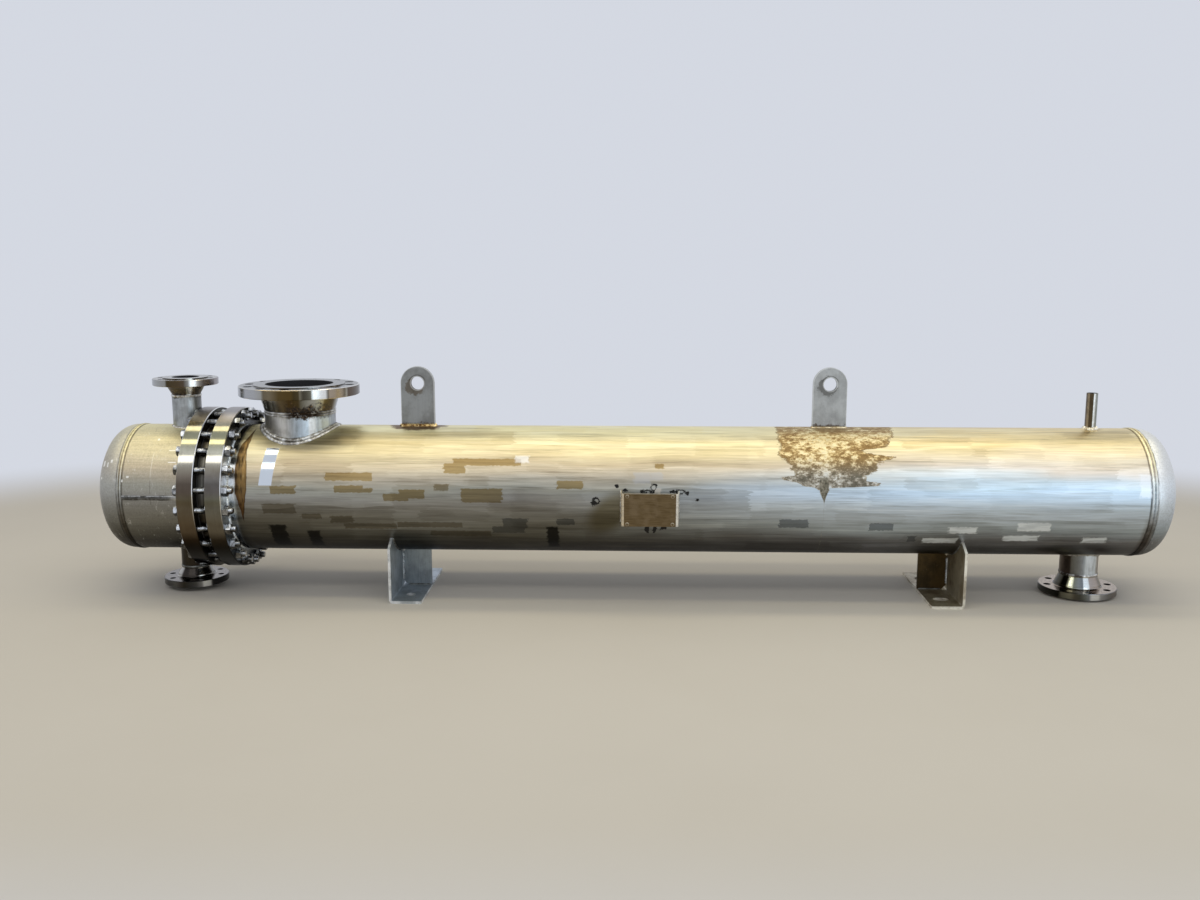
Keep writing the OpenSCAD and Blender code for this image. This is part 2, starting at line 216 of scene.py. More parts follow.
def cloud(vector, scale, stretch=(1, 1, 1), detail=3.0, rough=0.55, swirl=0.0):
    inputs = {"Vector": vector * stretch, "Scale": scale, "Detail": detail, "Roughness": rough,
              "Distortion": swirl}
    return varying(addNode("TexNoise", inputs).outputs["Fac"])


def bump(height, depth, strength=1.0):
    return addNode("Bump", {"Strength": strength, "Distance": depth, "Height": height}).outputs["Normal"]


def objectPoint():
    return varying(addNode("TexCoord").outputs["Object"], "VectorMath")


def facing():  # which way the surface faces
    return varying(addNode("NewGeometry").outputs["True Normal"], "VectorMath")


def surfaceOf(material):
    return material.node_tree.nodes["Principled BSDF"]


def newMaterial(name, metallic, roughness, tone=(0.5, 0.5, 0.5)):
    material = bpy.data.materials.new(name)
    material.use_nodes = True
    bench["tree"] = material.node_tree
    return plug(material, colour(tone), roughness, None, metallic)


def plug(material, tone=None, roughness=None, normal=None, metallic=None):
    for key, value in (("Base Color", tone), ("Roughness", roughness), ("Normal", normal),
                       ("Metallic", metallic)):
        if value is not None:
            fill(surfaceOf(material).inputs[key], value)
    return material


# Where a point lies on the vessel: its place along the axis, its rise above the axis as a share of the
# radius, its angle down from the top, positive towards the nameplate's side, with the seam below, and
# its place on the unrolled wall
def vesselCoordinates():
    point = objectPoint()
    x, y, z = split(point)
    rise = z - vessel["axisZ"]
    angle = calc("ARCTAN2", -y, rise)
    unrolled = joined(x, angle * vessel["radius"])
    return SimpleNamespace(point=point, x=x, share=rise / vessel["radius"], angle=angle, unrolled=unrolled)


print("shader tools ready")


# Studio: a pale floor that fades into the pale surroundings, three long strip lamps overhead that draw
# the bands of light along the vessel, and a cool lamp low at the front right
studio = {
    "floorTone": (0.60, 0.565, 0.51),
    "floorMottle": (0.5, 0.46, 0.4),
    "surroundTone": (0.66, 0.69, 0.76),
    "ambientTone": (0.95, 0.97, 1.0),
    "ambientStrength": 0.55,
    "floorHalf": 40.0,
    "fadeStart": 1.5,
    "fadeEnd": 2.7,
}
stripLamps = {  # degrees above the horizon as seen from the axis, depth, radiance and tone
    "frontStrip": (47.5, 0.56, 2.0, (1.0, 0.985, 0.93)),
    "topStrip": (74, 0.40, 2.9, (1.0, 0.91, 0.60)),
    "backStrip": (97.5, 0.50, 3.0, (1.0, 0.88, 0.60)),
}
stripAway = 3.2
stripLength = 6.8
sideLamp = {
    "place": (2.75, -4.0, 0.95),
    "aim": (1.1, 0.0, 0.36),
    "size": (2.0, 1.7),
    "radiance": 1.5,
    "tone": (0.74, 0.90, 1.0),
}


def makeLamp(name, place, aim, size, radiance, tone):
    lampData = bpy.data.lights.new(name, "AREA")
    lampData.shape = "RECTANGLE"
    lampData.size, lampData.size_y = size
    lampData.energy = radiance * math.pi * size[0] * size[1]
    lampData.color = tone
    lamp = bpy.data.objects.new(name, lampData)
    towards = np.array(aim) - np.array(place)
    flat = math.hypot(towards[0], towards[1])
    lamp.location = place
    lamp.rotation_euler = (math.atan2(flat, -towards[2]), 0, math.atan2(-towards[0], towards[1]))
    lamp.visible_camera = False
    bpy.context.scene.collection.objects.link(lamp)


def paleRays():  # 1 for rays from the camera, from gloss and through glass
    path = addNode("LightPath").outputs
    return larger(larger(path["Is Camera Ray"], path["Is Glossy Ray"]), path["Is Transmission Ray"])


def glow(kind, tone, strength=1.0):  # a lit background or a glowing surface
    return addNode(kind, {"Color": colour(tone), "Strength": strength}).outputs[0]


def makeSurroundings():
    world = bpy.data.worlds.new("paleSurroundings")
    bpy.context.scene.world = world
    world.use_nodes = True
    bench["tree"] = world.node_tree
    world.node_tree.nodes.clear()
    lit = glow("Background", studio["ambientTone"], studio["ambientStrength"])
    seen = glow("Background", studio["surroundTone"])
    mixed = addNode("MixShader", {0: paleRays(), 1: lit, 2: seen}).outputs[0]
    addNode("OutputWorld", {"Surface": mixed})


def makeFloor():
    half = studio["floorHalf"]
    mesh = bpy.data.meshes.new("floor")
    mesh.from_pydata([(-half, -half, 0), (half, -half, 0), (half, half, 0), (-half, half, 0)], [],
                     [(0, 1, 2, 3)])
    material = newMaterial("paleFloor", 0.0, 0.75, studio["floorTone"])
    surface = surfaceOf(material)
    surface.inputs["Specular IOR Level"].default_value = 0.2
    point = objectPoint()
    mottle = cloud(point, 1.3, detail=6.0, rough=0.6)
    plug(material, tint(remap(mottle, 0.35, 0.7, 0.0, 0.12), studio["floorTone"], studio["floorMottle"]))
    x, y = split(point)[:2]
    past = larger(abs(x) - vessel["shellWeldX"], 0.0)
    away = squareRoot(past ** 2.0 + y ** 2.0)
    fade = remap(away, studio["fadeStart"], studio["fadeEnd"]) * paleRays()
    glowing = glow("Emission", studio["surroundTone"])
    mixed = addNode("MixShader", {0: fade, 1: surface.outputs[0], 2: glowing}).outputs[0]
    fill(material.node_tree.nodes["Material Output"].inputs["Surface"], mixed)
    mesh.materials.append(material)
    floor = bpy.data.objects.new("floor", mesh)
    bpy.context.scene.collection.objects.link(floor)


makeSurroundings()
makeFloor()
for name, (degrees, depth, radiance, tone) in stripLamps.items():
    angle = math.radians(degrees)
    middle = (0.0, 0.0, vessel["axisZ"])
    place = (0.0, -stripAway * math.cos(angle), vessel["axisZ"] + stripAway * math.sin(angle))
    makeLamp(name, place, middle, (stripLength, depth), radiance, tone)
makeLamp("sideLamp", **sideLamp)
print("studio set")


# The vessel wall: satin steel, ground lengthwise. Its tone holds painted light: painted shade that darkens
# it below, a painted highlight along the top, browner and darker on the left, and a painted cool reflection
# on the right
wallTones = {
    "warm": [  # rise above the axis from -1 to 1, scaled to 0..1, and the tone there: painted shade low, a painted highlight high
        (0.04, (0.028, 0.022, 0.015)), (0.19, (0.108, 0.100, 0.078)), (0.30, (0.19, 0.185, 0.16)),
        (0.40, (0.25, 0.25, 0.235)), (0.49, (0.30, 0.295, 0.275)), (0.585, (0.40, 0.39, 0.32)),
        (0.67, (0.525, 0.45, 0.325)), (0.757, (0.56, 0.46, 0.30)), (0.84, (0.755, 0.658, 0.418)),
        (0.917, (0.72, 0.64, 0.385)), (0.987, (1.0, 0.90, 0.50)),
    ],
    # the painted cool reflection on the right of the wall, over the same heights
    "cool": [
        (0.04, (0.045, 0.040, 0.030)), (0.19, (0.22, 0.22, 0.225)), (0.30, (0.42, 0.48, 0.53)),
        (0.40, (0.60, 0.69, 0.80)), (0.50, (0.66, 0.77, 0.87)), (0.585, (0.55, 0.66, 0.76)),
        (0.67, (0.67, 0.79, 0.85)), (0.757, (0.77, 0.70, 0.60)), (0.84, (0.80, 0.71, 0.53)),
        (0.917, (0.755, 0.65, 0.385)), (0.987, (1.0, 0.82, 0.45)),
    ],
    "coolStart": -0.35,
    "coolLean": 0.35,  # the cool tones start this much further right above the middle
    "coolEnd": 0.85,
    "streakLight": (1.0, 0.98, 0.93),
    "streakDark": (0.30, 0.27, 0.22),
    "calm": 0.3,  # share of the streaks that the channel, the heads and their welds have
}

# Marks on the shell: middle along the axis and degrees down from the top, then length and width
shellMarks = {
    "tape": [
        (-857, 70, 147, 25), (-1058, 82, 78, 25), (-857, 81, 88, 22), (-799, 82, 28, 12), (-713, 88, 76, 22),
        (-663, 85, 80, 28), (-533, 62, 68, 32), (-436, 56, 210, 23), (-449, 86, 125, 43), (-180, 76, 78, 25),
        (91, 59, 27, 16),
    ],
    "dimTape": [
        (-1074, 99, 102, 32), (-975, 106, 61, 18), (-882, 109, 72, 24), (-796, 116, 163, 21),
        (-612, 114, 199, 20), (-519, 124, 187, 22), (-572, 79, 41, 20),
    ],
    "darkFilm": [
        (-349, 112, 76, 36), (-370, 119, 100, 26), (-195, 110, 53, 23), (499, 110, 89, 29),
        (764, 113, 71, 27), (861, 127, 26, 29),
    ],
    "burn": [
        (46, 83, 22, 12), (128, 81.5, 16, 11), (174, 82.5, 12, 12), (54, 116.5, 15, 34), (78, 116, 13, 30),
        (103, 115.5, 24, 15), (-108, 91.5, 16, 17), (-39, 76.5, 10, 9), (-14, 80.5, 12, 8),
        (205, 88.6, 10, 7),
    ],
    "burnRing": [(54, 82, 30, 14), (73, 78, 19, 20), (156, 81.5, 28, 14), (-100, 90, 20, 18)],
    "residue": [(85, 80.8, 26, 14)],
    # pale bluish marks low on the right of the wall
    "paleMarks": [(1009, 116, 87, 24), (1220, 112, 97, 30), (1188, 125, 105, 24), (1410, 127, 72, 26),
              (947, 129, 105, 24)],
    # dark bands of painted shade low on the front of the wall
    "paintedShade": [(-1086, 131, 50, 110), (-978, 135, 38, 90), (-235, 131, 36, 110)],
    # a painted glint beside the inlet, and a bare, ground patch at the right end
    "bareAndGlint": [(-328, 53, 43, 24), (1540, 74, 34, 70)],
    "faint": [(39, 69.5, 50, 34), (82, 68, 38, 24)],
}
markLooks = {  # softness of the edge, strength, tone (two for the tape: high and low) and way of mixing
    "tape": (1.2 * mm, 0.92, ((0.70, 0.58, 0.34), (0.56, 0.45, 0.26)), "MULTIPLY"),
    "dimTape": (2 * mm, 0.9, (0.50, 0.44, 0.34), "MULTIPLY"),
    "darkFilm": (1.2 * mm, 0.85, (0.34, 0.34, 0.33), "MULTIPLY"),
    # pale bluish marks, broken up by the draw streaks
    "paleMarks": (3 * mm, 0.9, (0.80, 0.84, 0.86), "MIX"),
    # a pale mix: a painted glint and a bare patch
    "bareAndGlint": (4 * mm, 0.5, (0.92, 0.94, 0.96), "MIX"),
    "faint": (4 * mm, 0.4, (0.50, 0.51, 0.53), "MIX"),
    # the dark bands of painted shade
    "paintedShade": (4 * mm, 0.95, (0.08, 0.075, 0.065), "MULTIPLY"),
    "residue": (2 * mm, 0.8, (0.62, 0.57, 0.48), "MIX"),
}
# painted glints on the channel's head, and nicks and painted glints on the channel
headGlints = [(-1624, 58, 8, 20), (-1609, 60, 5, 16), (-1597, 57, 7, 10), (-1630, 72, 6, 8)]
channelNicksAndGlints = [(-1415, 46, 20, 3), (-1408, 58, 24, 2.5), (-1541, 71.5, 8, 6), (-1470, 33, 6, 9),
                (-1558, 75, 6, 8)]


# Signed distance to the nearest mark of a list, in metres: the larger of how far the unrolled point lies
# past the mark's half length and past its half width, and the least of these over the list
def nearestMark(unrolled, marks):
    nearest = None
    for x, degrees, length, width in marks:
        middle = (x * mm, math.radians(degrees) * vessel["radius"], 0)
        away = abs(unrolled - middle)
        past = away - (length * mm / 2, width * mm / 2, 0)
        parts = split(past)
        distance = larger(parts[0], parts[1])
        nearest = distance if nearest is None else smaller(nearest, distance)
    return nearest


# The same for rounded marks: the distance from the middle, each way in units of half the mark's size, less
# one, times half its width
def nearestSpot(unrolled, marks):
    nearest = None
    for x, degrees, length, width in marks:
        away = unrolled - (x * mm, math.radians(degrees) * vessel["radius"], 0)
        away = away * (2 / (length * mm), 2 / (width * mm), 0)
        away = lengthOf(away)
        distance = (away - 1.0) * (min(length, width) * mm / 2)
        nearest = distance if nearest is None else smaller(nearest, distance)
    return nearest


def markMask(unrolled, marks, soft=1.2 * mm):
    return remap(nearestMark(unrolled, marks), soft, -soft)


# Tone of the wall before its marks: two ramps over the height, of painted shade below and a painted
# highlight above, blended along the axis into the painted cool reflection on the right, with lengthwise
# streaks, and beside the head welds a dark toe and below them a burnt tint
def wallTone(place, streaky=1.0):
    height = remap(place.share, -1.0, 1.0, kind="LINEAR")
    drift = cloud(place.point, 1.0, (2.2, 9.0, 9.0), detail=2.0)
    height = height + remap(drift, 0.3, 0.7, -0.035, 0.035)
    lean = remap(height, 0.55, 0.66, 0.0, wallTones["coolLean"])
    cool = remap(place.x - lean, wallTones["coolStart"], wallTones["coolEnd"])
    tone = tint(cool, colourRamp(height, wallTones["warm"]), colourRamp(height, wallTones["cool"]))
    streak = cloud(place.point, 1.0, (2.4, 70.0, 70.0), detail=5.0, rough=0.66)
    fine = cloud(place.point, 1.0, (9.0, 260.0, 260.0), detail=2.0)
    light = remap(streak, 0.50, 0.70, 0.0, 0.42 * streaky)
    dark = remap(streak, 0.50, 0.30, 0.0, 0.50 * streaky)
    tone = tint(light, tone, wallTones["streakLight"], "SOFT_LIGHT")
    tone = darken(dark, tone, wallTones["streakDark"])
    tone = darken(remap(fine, 0.35, 0.65, 0.0, 0.16), tone, (0.25, 0.23, 0.20))
    toWeld = abs(abs(place.x) - vessel["shellWeldX"])
    toeAt = remap(place.x, -1.0, 1.0, 9 * mm, 11.5 * mm, "LINEAR")
    toe = remap(abs(toWeld - toeAt), 3.2 * mm, 1.2 * mm, 0.0, 0.8)
    tone = darken(toe, tone, (0.22, 0.20, 0.17))
    burnt = remap(place.share, -0.1, -0.5) * remap(toWeld, 27 * mm, 13 * mm, 0.0, 0.75)
    burnt = burnt * remap(place.x, vessel["shellWeldX"] - 40 * mm, vessel["shellWeldX"] - 30 * mm)
    burnt = burnt * remap(place.x, vessel["shellWeldX"] + 10 * mm, vessel["shellWeldX"])
    tone = darken(burnt, tone, (0.50, 0.42, 0.36))
    return tone, streak, fine


# Strokes of the grinder: long bricks on the unrolled wall, their ends ragged, each a little lighter or
# darker; three layers of different sizes overlap
strokeLayers = [((0.36, 0.068), 0.37, (0.0, 0.0), 1.0), ((0.21, 0.037), 0.61, (0.43, 0.17), 0.6),
                ((0.10, 0.020), 0.29, (0.21, 0.07), 0.3)]


def strokePatches(place):
    ragged = cloud(place.point, 1.0, (5.0, 170.0, 170.0), detail=3.0)
    sway = cloud(place.point, 3.0, detail=2.0)
    shake = joined(remap(ragged, 0.25, 0.75, -0.018, 0.018, "LINEAR"),
                   remap(sway, 0.25, 0.75, -0.015, 0.015, "LINEAR"))
    moved = place.unrolled + shake
    layers = []
    for (length, width), offset, start, strength in strokeLayers:
        inputs = {"Vector": moved + (*start, 0), "Color1": colour((0, 0, 0)), "Color2": colour((1, 1, 1)),
                  "Mortar": colour((0.5, 0.5, 0.5)), "Scale": 1.0, "Mortar Size": 0.0,
                  "Brick Width": length, "Row Height": width}
        layers.append((addNode("TexBrick", inputs, offset=offset, offset_frequency=3).outputs["Color"],
                       strength))
    return layers


def makeShellSteel():
    material = newMaterial("shellSteel", 0.92, 0.38)
    surfaceOf(material).inputs["Specular IOR Level"].default_value = 0.25
    place = vesselCoordinates()
    tone, streak, fine = wallTone(place)
    for patch, strength in strokePatches(place):
        tone = darken(remap(patch, 0.62, 1.0, 0.0, 0.52 * strength, "LINEAR"), tone, (0.62, 0.58, 0.53))
        tone = tint(remap(patch, 0.38, 0.0, 0.0, 0.42 * strength, "LINEAR"), tone, (0.90, 0.92, 0.95),
                    "SOFT_LIGHT")

    ragged = cloud(place.point, 90.0, detail=3.0)
    shake = joined(remap(ragged, 0.3, 0.7, -5 * mm, 5 * mm, "LINEAR"),
                   remap(ragged, 0.7, 0.3, -2 * mm, 2 * mm, "LINEAR"))
    loose = place.unrolled + shake
    drawn = cloud(place.point, 1.0, (12.0, 130.0, 130.0), detail=3.0)
    tone = plateShade(place, tone)
    masks = {}
    for name, (soft, strength, markTone, mode) in markLooks.items():
        mask = markMask(loose, shellMarks[name], soft)
        if name == "paleMarks":
            mask = mask * remap(drawn, 0.36, 0.56, 0.6, 1.0)
        if name == "tape":
            markTone = tint(remap(place.share, 0.34, 0.12), *markTone)
        tone = tint(mask * strength, tone, markTone, mode)
        masks[name] = mask

    spatter = remap(cloud(place.point, 75.0, detail=6.0, rough=0.75), 0.3, 0.7, 6 * mm, -6 * mm, "LINEAR")
    filled = nearestSpot(place.unrolled, shellMarks["burn"]) + spatter
    ring = nearestSpot(place.unrolled, shellMarks["burnRing"]) + spatter * 0.6
    ring = abs(ring + 1.0 * mm) - remap(spatter, -3 * mm, 3 * mm, 3.6 * mm, 0.6 * mm, "LINEAR")
    burn = remap(smaller(filled, ring), 1 * mm, -1 * mm)
    tone = tint(burn, tone, (0.008, 0.007, 0.006))

    stain, stainTone = lugStain(place)
    tone = tint(stain, tone, stainTone)
    tone, strip = heatTint(place, tone)
    polished = polishedSpot(place)
    tone = tint(polished, tone, brightSpot["tone"])
    tone = weldBurnAndShade(place, tone)

    roughness = remap(streak, 0.3, 0.7, 0.32, 0.46, "LINEAR")
    dull = larger(larger(masks["tape"], masks["dimTape"]), larger(masks["darkFilm"], masks["paleMarks"]))
    roughness = roughness + dull * 0.12 + stain * stainShape["rougher"]
    roughness = blend(polished, roughness, brightSpot["roughness"])
    roughness = blend(strip, roughness, 0.16)
    film = larger(larger(dull * 0.35, stain * 0.45), burn * 0.95)
    metallic = 0.95 - film
    return plug(material, tone, roughness, bump(fine, 0.12 * mm, 0.5), metallic)


# A painted shadow and reflection of the nameplate and its bracket: a soft brown shade that runs down and to
# the left from beside the nameplate
shade = {"x": -60, "degrees": 102, "lean": 47, "halfLength": 105, "halfWidth": 62}


def plateShade(place, tone):
    middle = (shade["x"] * mm, math.radians(shade["degrees"]) * vessel["radius"], 0)
    away = place.unrolled - middle
    lean = math.radians(shade["lean"])
    along = dot(away, (-math.cos(lean), math.sin(lean), 0))
    across = dot(away, (math.sin(lean), math.cos(lean), 0))
    along = along / (shade["halfLength"] * mm)
    across = across / (shade["halfWidth"] * mm)
    reach = squareRoot(along ** 2.0 + across ** 2.0)
    return darken(remap(reach, 1.15, 0.45, 0.0, 0.9), tone, (0.52, 0.45, 0.29))


# The stain below the right lug: its reach to the left and right of a middle line changes with the angle
# down from the top, and noise frays it
stainShape = {
    "rougher": 0.16,  # than the wall round it
    "overCrown": 24 * mm,
    "middleX": 0.586,
    "lowest": 92,
    "reach": 0.25,
    "left": [(0, 0.13), (47, 0.133), (58, 0.10), (66, 0.093), (67, 0.09), (68, 0.128), (70.5, 0.125),
             (72, 0.09), (76, 0.055), (78, 0.017), (83, 0.012), (88, 0.004), (91, 0.0)],
    "right": [(0, 0.235), (24, 0.225), (34, 0.20), (38, 0.195), (41.5, 0.125), (44, 0.13), (46, 0.16),
              (48.5, 0.213), (51.5, 0.205), (53, 0.175), (58, 0.168), (63, 0.15), (66, 0.13), (71, 0.12),
              (73, 0.168), (75.5, 0.16), (76.5, 0.09), (77.5, 0.014), (83, 0.009), (88, 0.003), (91, 0.0)],
    "dripHalf": [(62, 0.008), (74, 0.014), (79, 0.012), (83, 0.009), (87, 0.004), (91, 0.0)],
}


def stainReach(down, side):
    lowest, farthest = stainShape["lowest"], stainShape["reach"]
    stops = [(degrees / lowest, reach / farthest) for degrees, reach in stainShape[side]]
    return valueRamp(down, stops) * farthest


def lugStain(place):
    down = remap(place.angle, 0.0, math.radians(stainShape["lowest"]), kind="LINEAR")
    aside = place.x - stainShape["middleX"]
    toRight = aside - stainReach(down, "right")
    toLeft = -aside - stainReach(down, "left")
    fray = cloud(place.point, 56.0, (0.8, 1.25, 1.25), detail=8.0, rough=0.76)
    calm = remap(down, 0.83, 0.90, 1.0, 0.12)
    loose = (fray - 0.5) * calm * 0.075
    overCrown = place.angle * -vessel["radius"] - stainShape["overCrown"]
    edge = larger(larger(toRight, toLeft), overCrown)
    distance = edge + loose
    mask = remap(distance, 1.5 * mm, -2.5 * mm)
    crust = cloud(place.point, 58.0, (0.8, 1.25, 1.25), detail=8.0, rough=0.76)
    large = cloud(place.point, 13.0, detail=4.0, rough=0.6)
    browner = remap(aside, 0.02, 0.09) * remap(down, 0.28, 0.40)
    browner = larger(browner, remap(aside, -0.06, -0.10) * remap(down, 0.20, 0.30))
    blotch = crust - browner * 0.06 + remap(large, 0.35, 0.65, -0.05, 0.05, "LINEAR")
    grain = cloud(place.point, 80.0, detail=6.0, rough=0.75)
    brown = colourRamp(blotch, [(0.40, (0.30, 0.185, 0.065)), (0.46, (0.50, 0.35, 0.15)),
                                (0.50, (0.76, 0.60, 0.31)), (0.57, (1.0, 0.91, 0.58))])
    greyTone = colourRamp(blotch, [(0.40, (0.15, 0.135, 0.10)), (0.46, (0.31, 0.28, 0.225)),
                                   (0.51, (0.48, 0.45, 0.385)), (0.58, (0.92, 0.90, 0.84))])
    tone = tint(remap(down, 0.50, 0.76), brown, greyTone)
    band = remap(down + (grain - 0.5) * 0.16, 0.27, 0.14, 0.0, 0.72)
    tone = tint(band, tone, (0.27, 0.18, 0.085))
    tone = darken(remap(grain, 0.46, 0.60, 0.0, 0.5), tone, (0.50, 0.43, 0.33))
    rim = remap(abs(distance + 3.5 * mm), 5 * mm, 1.5 * mm, 0.0, 0.75)
    tone = tint(rim, tone, (0.28, 0.22, 0.13))
    drip = abs(aside) - stainReach(down, "dripHalf") + (grain - 0.5) * (14 * mm)
    drip = remap(drip, 1 * mm, -1 * mm) * remap(down, 0.70, 0.78)
    dripTone = colourRamp(grain, [(0.40, (0.06, 0.055, 0.040)), (0.52, (0.19, 0.175, 0.13)),
                                  (0.62, (0.34, 0.31, 0.25))])
    tone = tint(drip * 0.92, tone, dripTone)
    cover = remap(blotch - rim * 0.2, 0.60, 0.53, 0.15, 0.97)
    cover = larger(cover, drip)
    return mask * cover, tone


# Heat tint beside the shell flange: a gold and brown crescent between two edges, given as millimetres from
# the flange's face at degrees down from the top, darker towards the bottom as painted shade, and between it
# and the flange a turned strip whose tones are a painted highlight a little above the middle and painted
# shade above and below
heatBand = {
    "left": [(12, 48), (27, 42), (39, 26), (51, 21), (66, 20), (86, 25), (99, 37), (113, 44)],
    "right": [(12, 49), (29, 52), (45, 50), (57, 55), (72, 62), (83, 61), (97, 53), (113, 45)],
    "lowest": 120,
    "reach": 80,
    "gold": (0.30, 0.175, 0.050),
    "brown": (0.050, 0.027, 0.010),
    # the turned strip by height: painted shade, a painted highlight, painted shade
    "strip": [(0.05, (0.06, 0.058, 0.055)), (0.30, (0.40, 0.42, 0.44)), (0.42, (0.82, 0.88, 0.90)),
              (0.55, (1.0, 1.0, 1.0)), (0.72, (1.0, 1.0, 1.0)), (0.80, (0.40, 0.40, 0.37)),
              (0.93, (0.08, 0.075, 0.07))],
}


def bandEdge(angle, side):
    share = remap(angle, 0.0, math.radians(heatBand["lowest"]), kind="LINEAR")
    stops = [(degrees / heatBand["lowest"], away / heatBand["reach"]) for degrees, away in heatBand[side]]
    return valueRamp(share, stops) * (heatBand["reach"] * mm)


def heatTint(place, tone):
    along = place.x - vessel["shellFlange"][1]
    height = remap(place.share, -1.0, 1.0, kind="LINEAR")
    grit = cloud(place.point, 95.0, detail=4.0, rough=0.65)
    # painted highlight and shade on the turned strip
    strip = colourRamp(height, heatBand["strip"])
    strip = darken(remap(grit, 0.48, 0.66, 0.0, 0.2), strip, (0.45, 0.45, 0.45))
    tone = tint(remap(along, 30 * mm, 18 * mm, 0.0, 0.9), tone, strip)
    along = along + (cloud(place.point, 30.0, detail=4.0) - 0.5) * (9 * mm)
    fromLeft = along - bandEdge(place.angle, "left")
    fromRight = bandEdge(place.angle, "right") - along
    inside = smaller(fromLeft, fromRight)
    front = remap(place.angle, math.radians(4), math.radians(10))
    lowEnd = remap(place.angle, math.radians(114), math.radians(112))
    mask = remap(inside, -0.5 * mm, 2 * mm) * front * lowEnd
    streak = cloud(place.point, 1.0, (190.0, 26.0, 26.0), detail=5.0, rough=0.6)
    burnt = colourRamp(streak, [(0.36, heatBand["brown"]), (0.47, (0.24, 0.145, 0.050)),
                                (0.58, heatBand["gold"]), (0.72, (0.58, 0.42, 0.20))])
    # painted shade: the crescent darker towards the bottom
    low = remap(place.angle, math.radians(70), math.radians(105), 0.0, 0.7)
    burnt = darken(low, burnt, (0.36, 0.24, 0.14))
    burnt = darken(remap(fromLeft, 14 * mm, 1 * mm, 0.0, 0.85), burnt, (0.30, 0.21, 0.13))
    burnt = darken(remap(fromRight, 6 * mm, 0.5 * mm, 0.0, 0.85), burnt, (0.20, 0.13, 0.07))
    return tint(mask * 0.95, tone, burnt), remap(along, 24 * mm, 14 * mm)


# A small mirror-bright spot beside the inlet
brightSpot = {"x": -1108, "degrees": 60.5, "length": 40, "width": 124, "slant": 0.10,
              "tone": (0.74, 0.79, 0.84), "roughness": 0.10}


def polishedSpot(place):
    parts = split(place.unrolled)
    lean = (parts[1] - math.radians(brightSpot["degrees"]) * vessel["radius"]) * brightSpot["slant"]
    sheared = joined(parts[0] + lean, parts[1])
    box = [(brightSpot["x"], brightSpot["degrees"], brightSpot["length"], brightSpot["width"])]
    return markMask(sheared, box, 0.8 * mm)


# Rings about the feet of the inlet, the lugs and the vent, on the unrolled wall: painted shade round the
# inlet's foot, and burnt rings about the lugs and the vent. Place, squash along the axis, radius, spread,
# strength and tone
weldMarks = [
    # the first ring is painted shade round the inlet's foot
    (-1053, 1.0, 112, 10, 0.2, (0.30, 0.25, 0.19)), (-674, 0.62, 48, 14, 0.95, (0.15, 0.080, 0.028)),
    (626, 0.9, 52, 12, 0.5, (0.24, 0.16, 0.08)), (1439, 1.0, 18, 22, 0.5, (0.35, 0.25, 0.14)),
]


def weldBurnAndShade(place, tone):
    fray = (cloud(place.point, 34.0, detail=5.0, rough=0.65) - 0.5) * (40 * mm)
    for x, squash, radius, spread, strength, burnt in weldMarks:
        away = (place.unrolled - (x * mm, 0, 0)) * (squash, 1, 1)
        away = lengthOf(away)
        away = away + fray
        tone = tint(remap(away, (radius + spread) * mm, radius * mm, 0.0, strength), tone, burnt)
    return tone


# The channel and the two heads: duller than the shell and frosted, their tone the wall's with its painted
# shade and highlight, and paler towards the bottom, with a few painted glints and, on the channel, nicks, a
# scribed ring in painted highlight above and painted shade below, and a dark line along both toes of the
# head weld
scribe = {"x": -1470, "width": 1.6, "start": 48, "end": 96}


def makeWallSteel(name, roughness, lowPaling, pale, nicksAndGlints=None, palingFrom=(-0.85, 0.1), gain=1.0):
    material = newMaterial(name, 0.85, roughness)
    place = vesselCoordinates()
    tone = wallTone(place, wallTones["calm"])[0]
    # paler towards the bottom
    low = remap(place.share, *palingFrom, 0.05, 1.0)
    if gain != 1:
        tone = tone * grey(gain)
    tone = tint(low * lowPaling, tone, pale)
    grain = cloud(place.point, 210.0, detail=2.0)
    tone = darken(remap(grain, 0.35, 0.65, 0.0, 0.2), tone, (0.5, 0.48, 0.44))
    rub = cloud(place.point, 1.0, (70.0, 30.0, 30.0), detail=5.0, rough=0.7, swirl=0.8)
    tone = tint(remap(rub, 0.58, 0.72, 0.0, 0.35), tone, (0.92, 0.91, 0.87))
    tone = darken(remap(rub, 0.42, 0.30, 0.0, 0.3), tone, (0.45, 0.42, 0.37))
    if nicksAndGlints:
        # bright nicks and painted glints
        tone = tint(markMask(place.unrolled, nicksAndGlints, 1 * mm) * 0.85, tone, (0.95, 0.93, 0.86))
        middle = (scribe["start"] + scribe["end"]) / 2
        arc = math.radians(scribe["end"] - scribe["start"]) * vessel["radius"] / mm
        line = markMask(place.unrolled, [(scribe["x"], middle, scribe["width"], arc)], 1 * mm)
        # the scribed line: a painted highlight above and painted shade below
        lineTone = tint(remap(place.angle, math.radians(68), math.radians(78)), (0.85, 0.82, 0.70),
                        (0.10, 0.09, 0.08))
        tone = tint(line * 0.6, tone, lineTone)
    rough = remap(grain, 0.3, 0.7, roughness - 0.05, roughness + 0.07, "LINEAR")
    return plug(material, tone, rough, bump(grain, 0.15 * mm, 0.5))


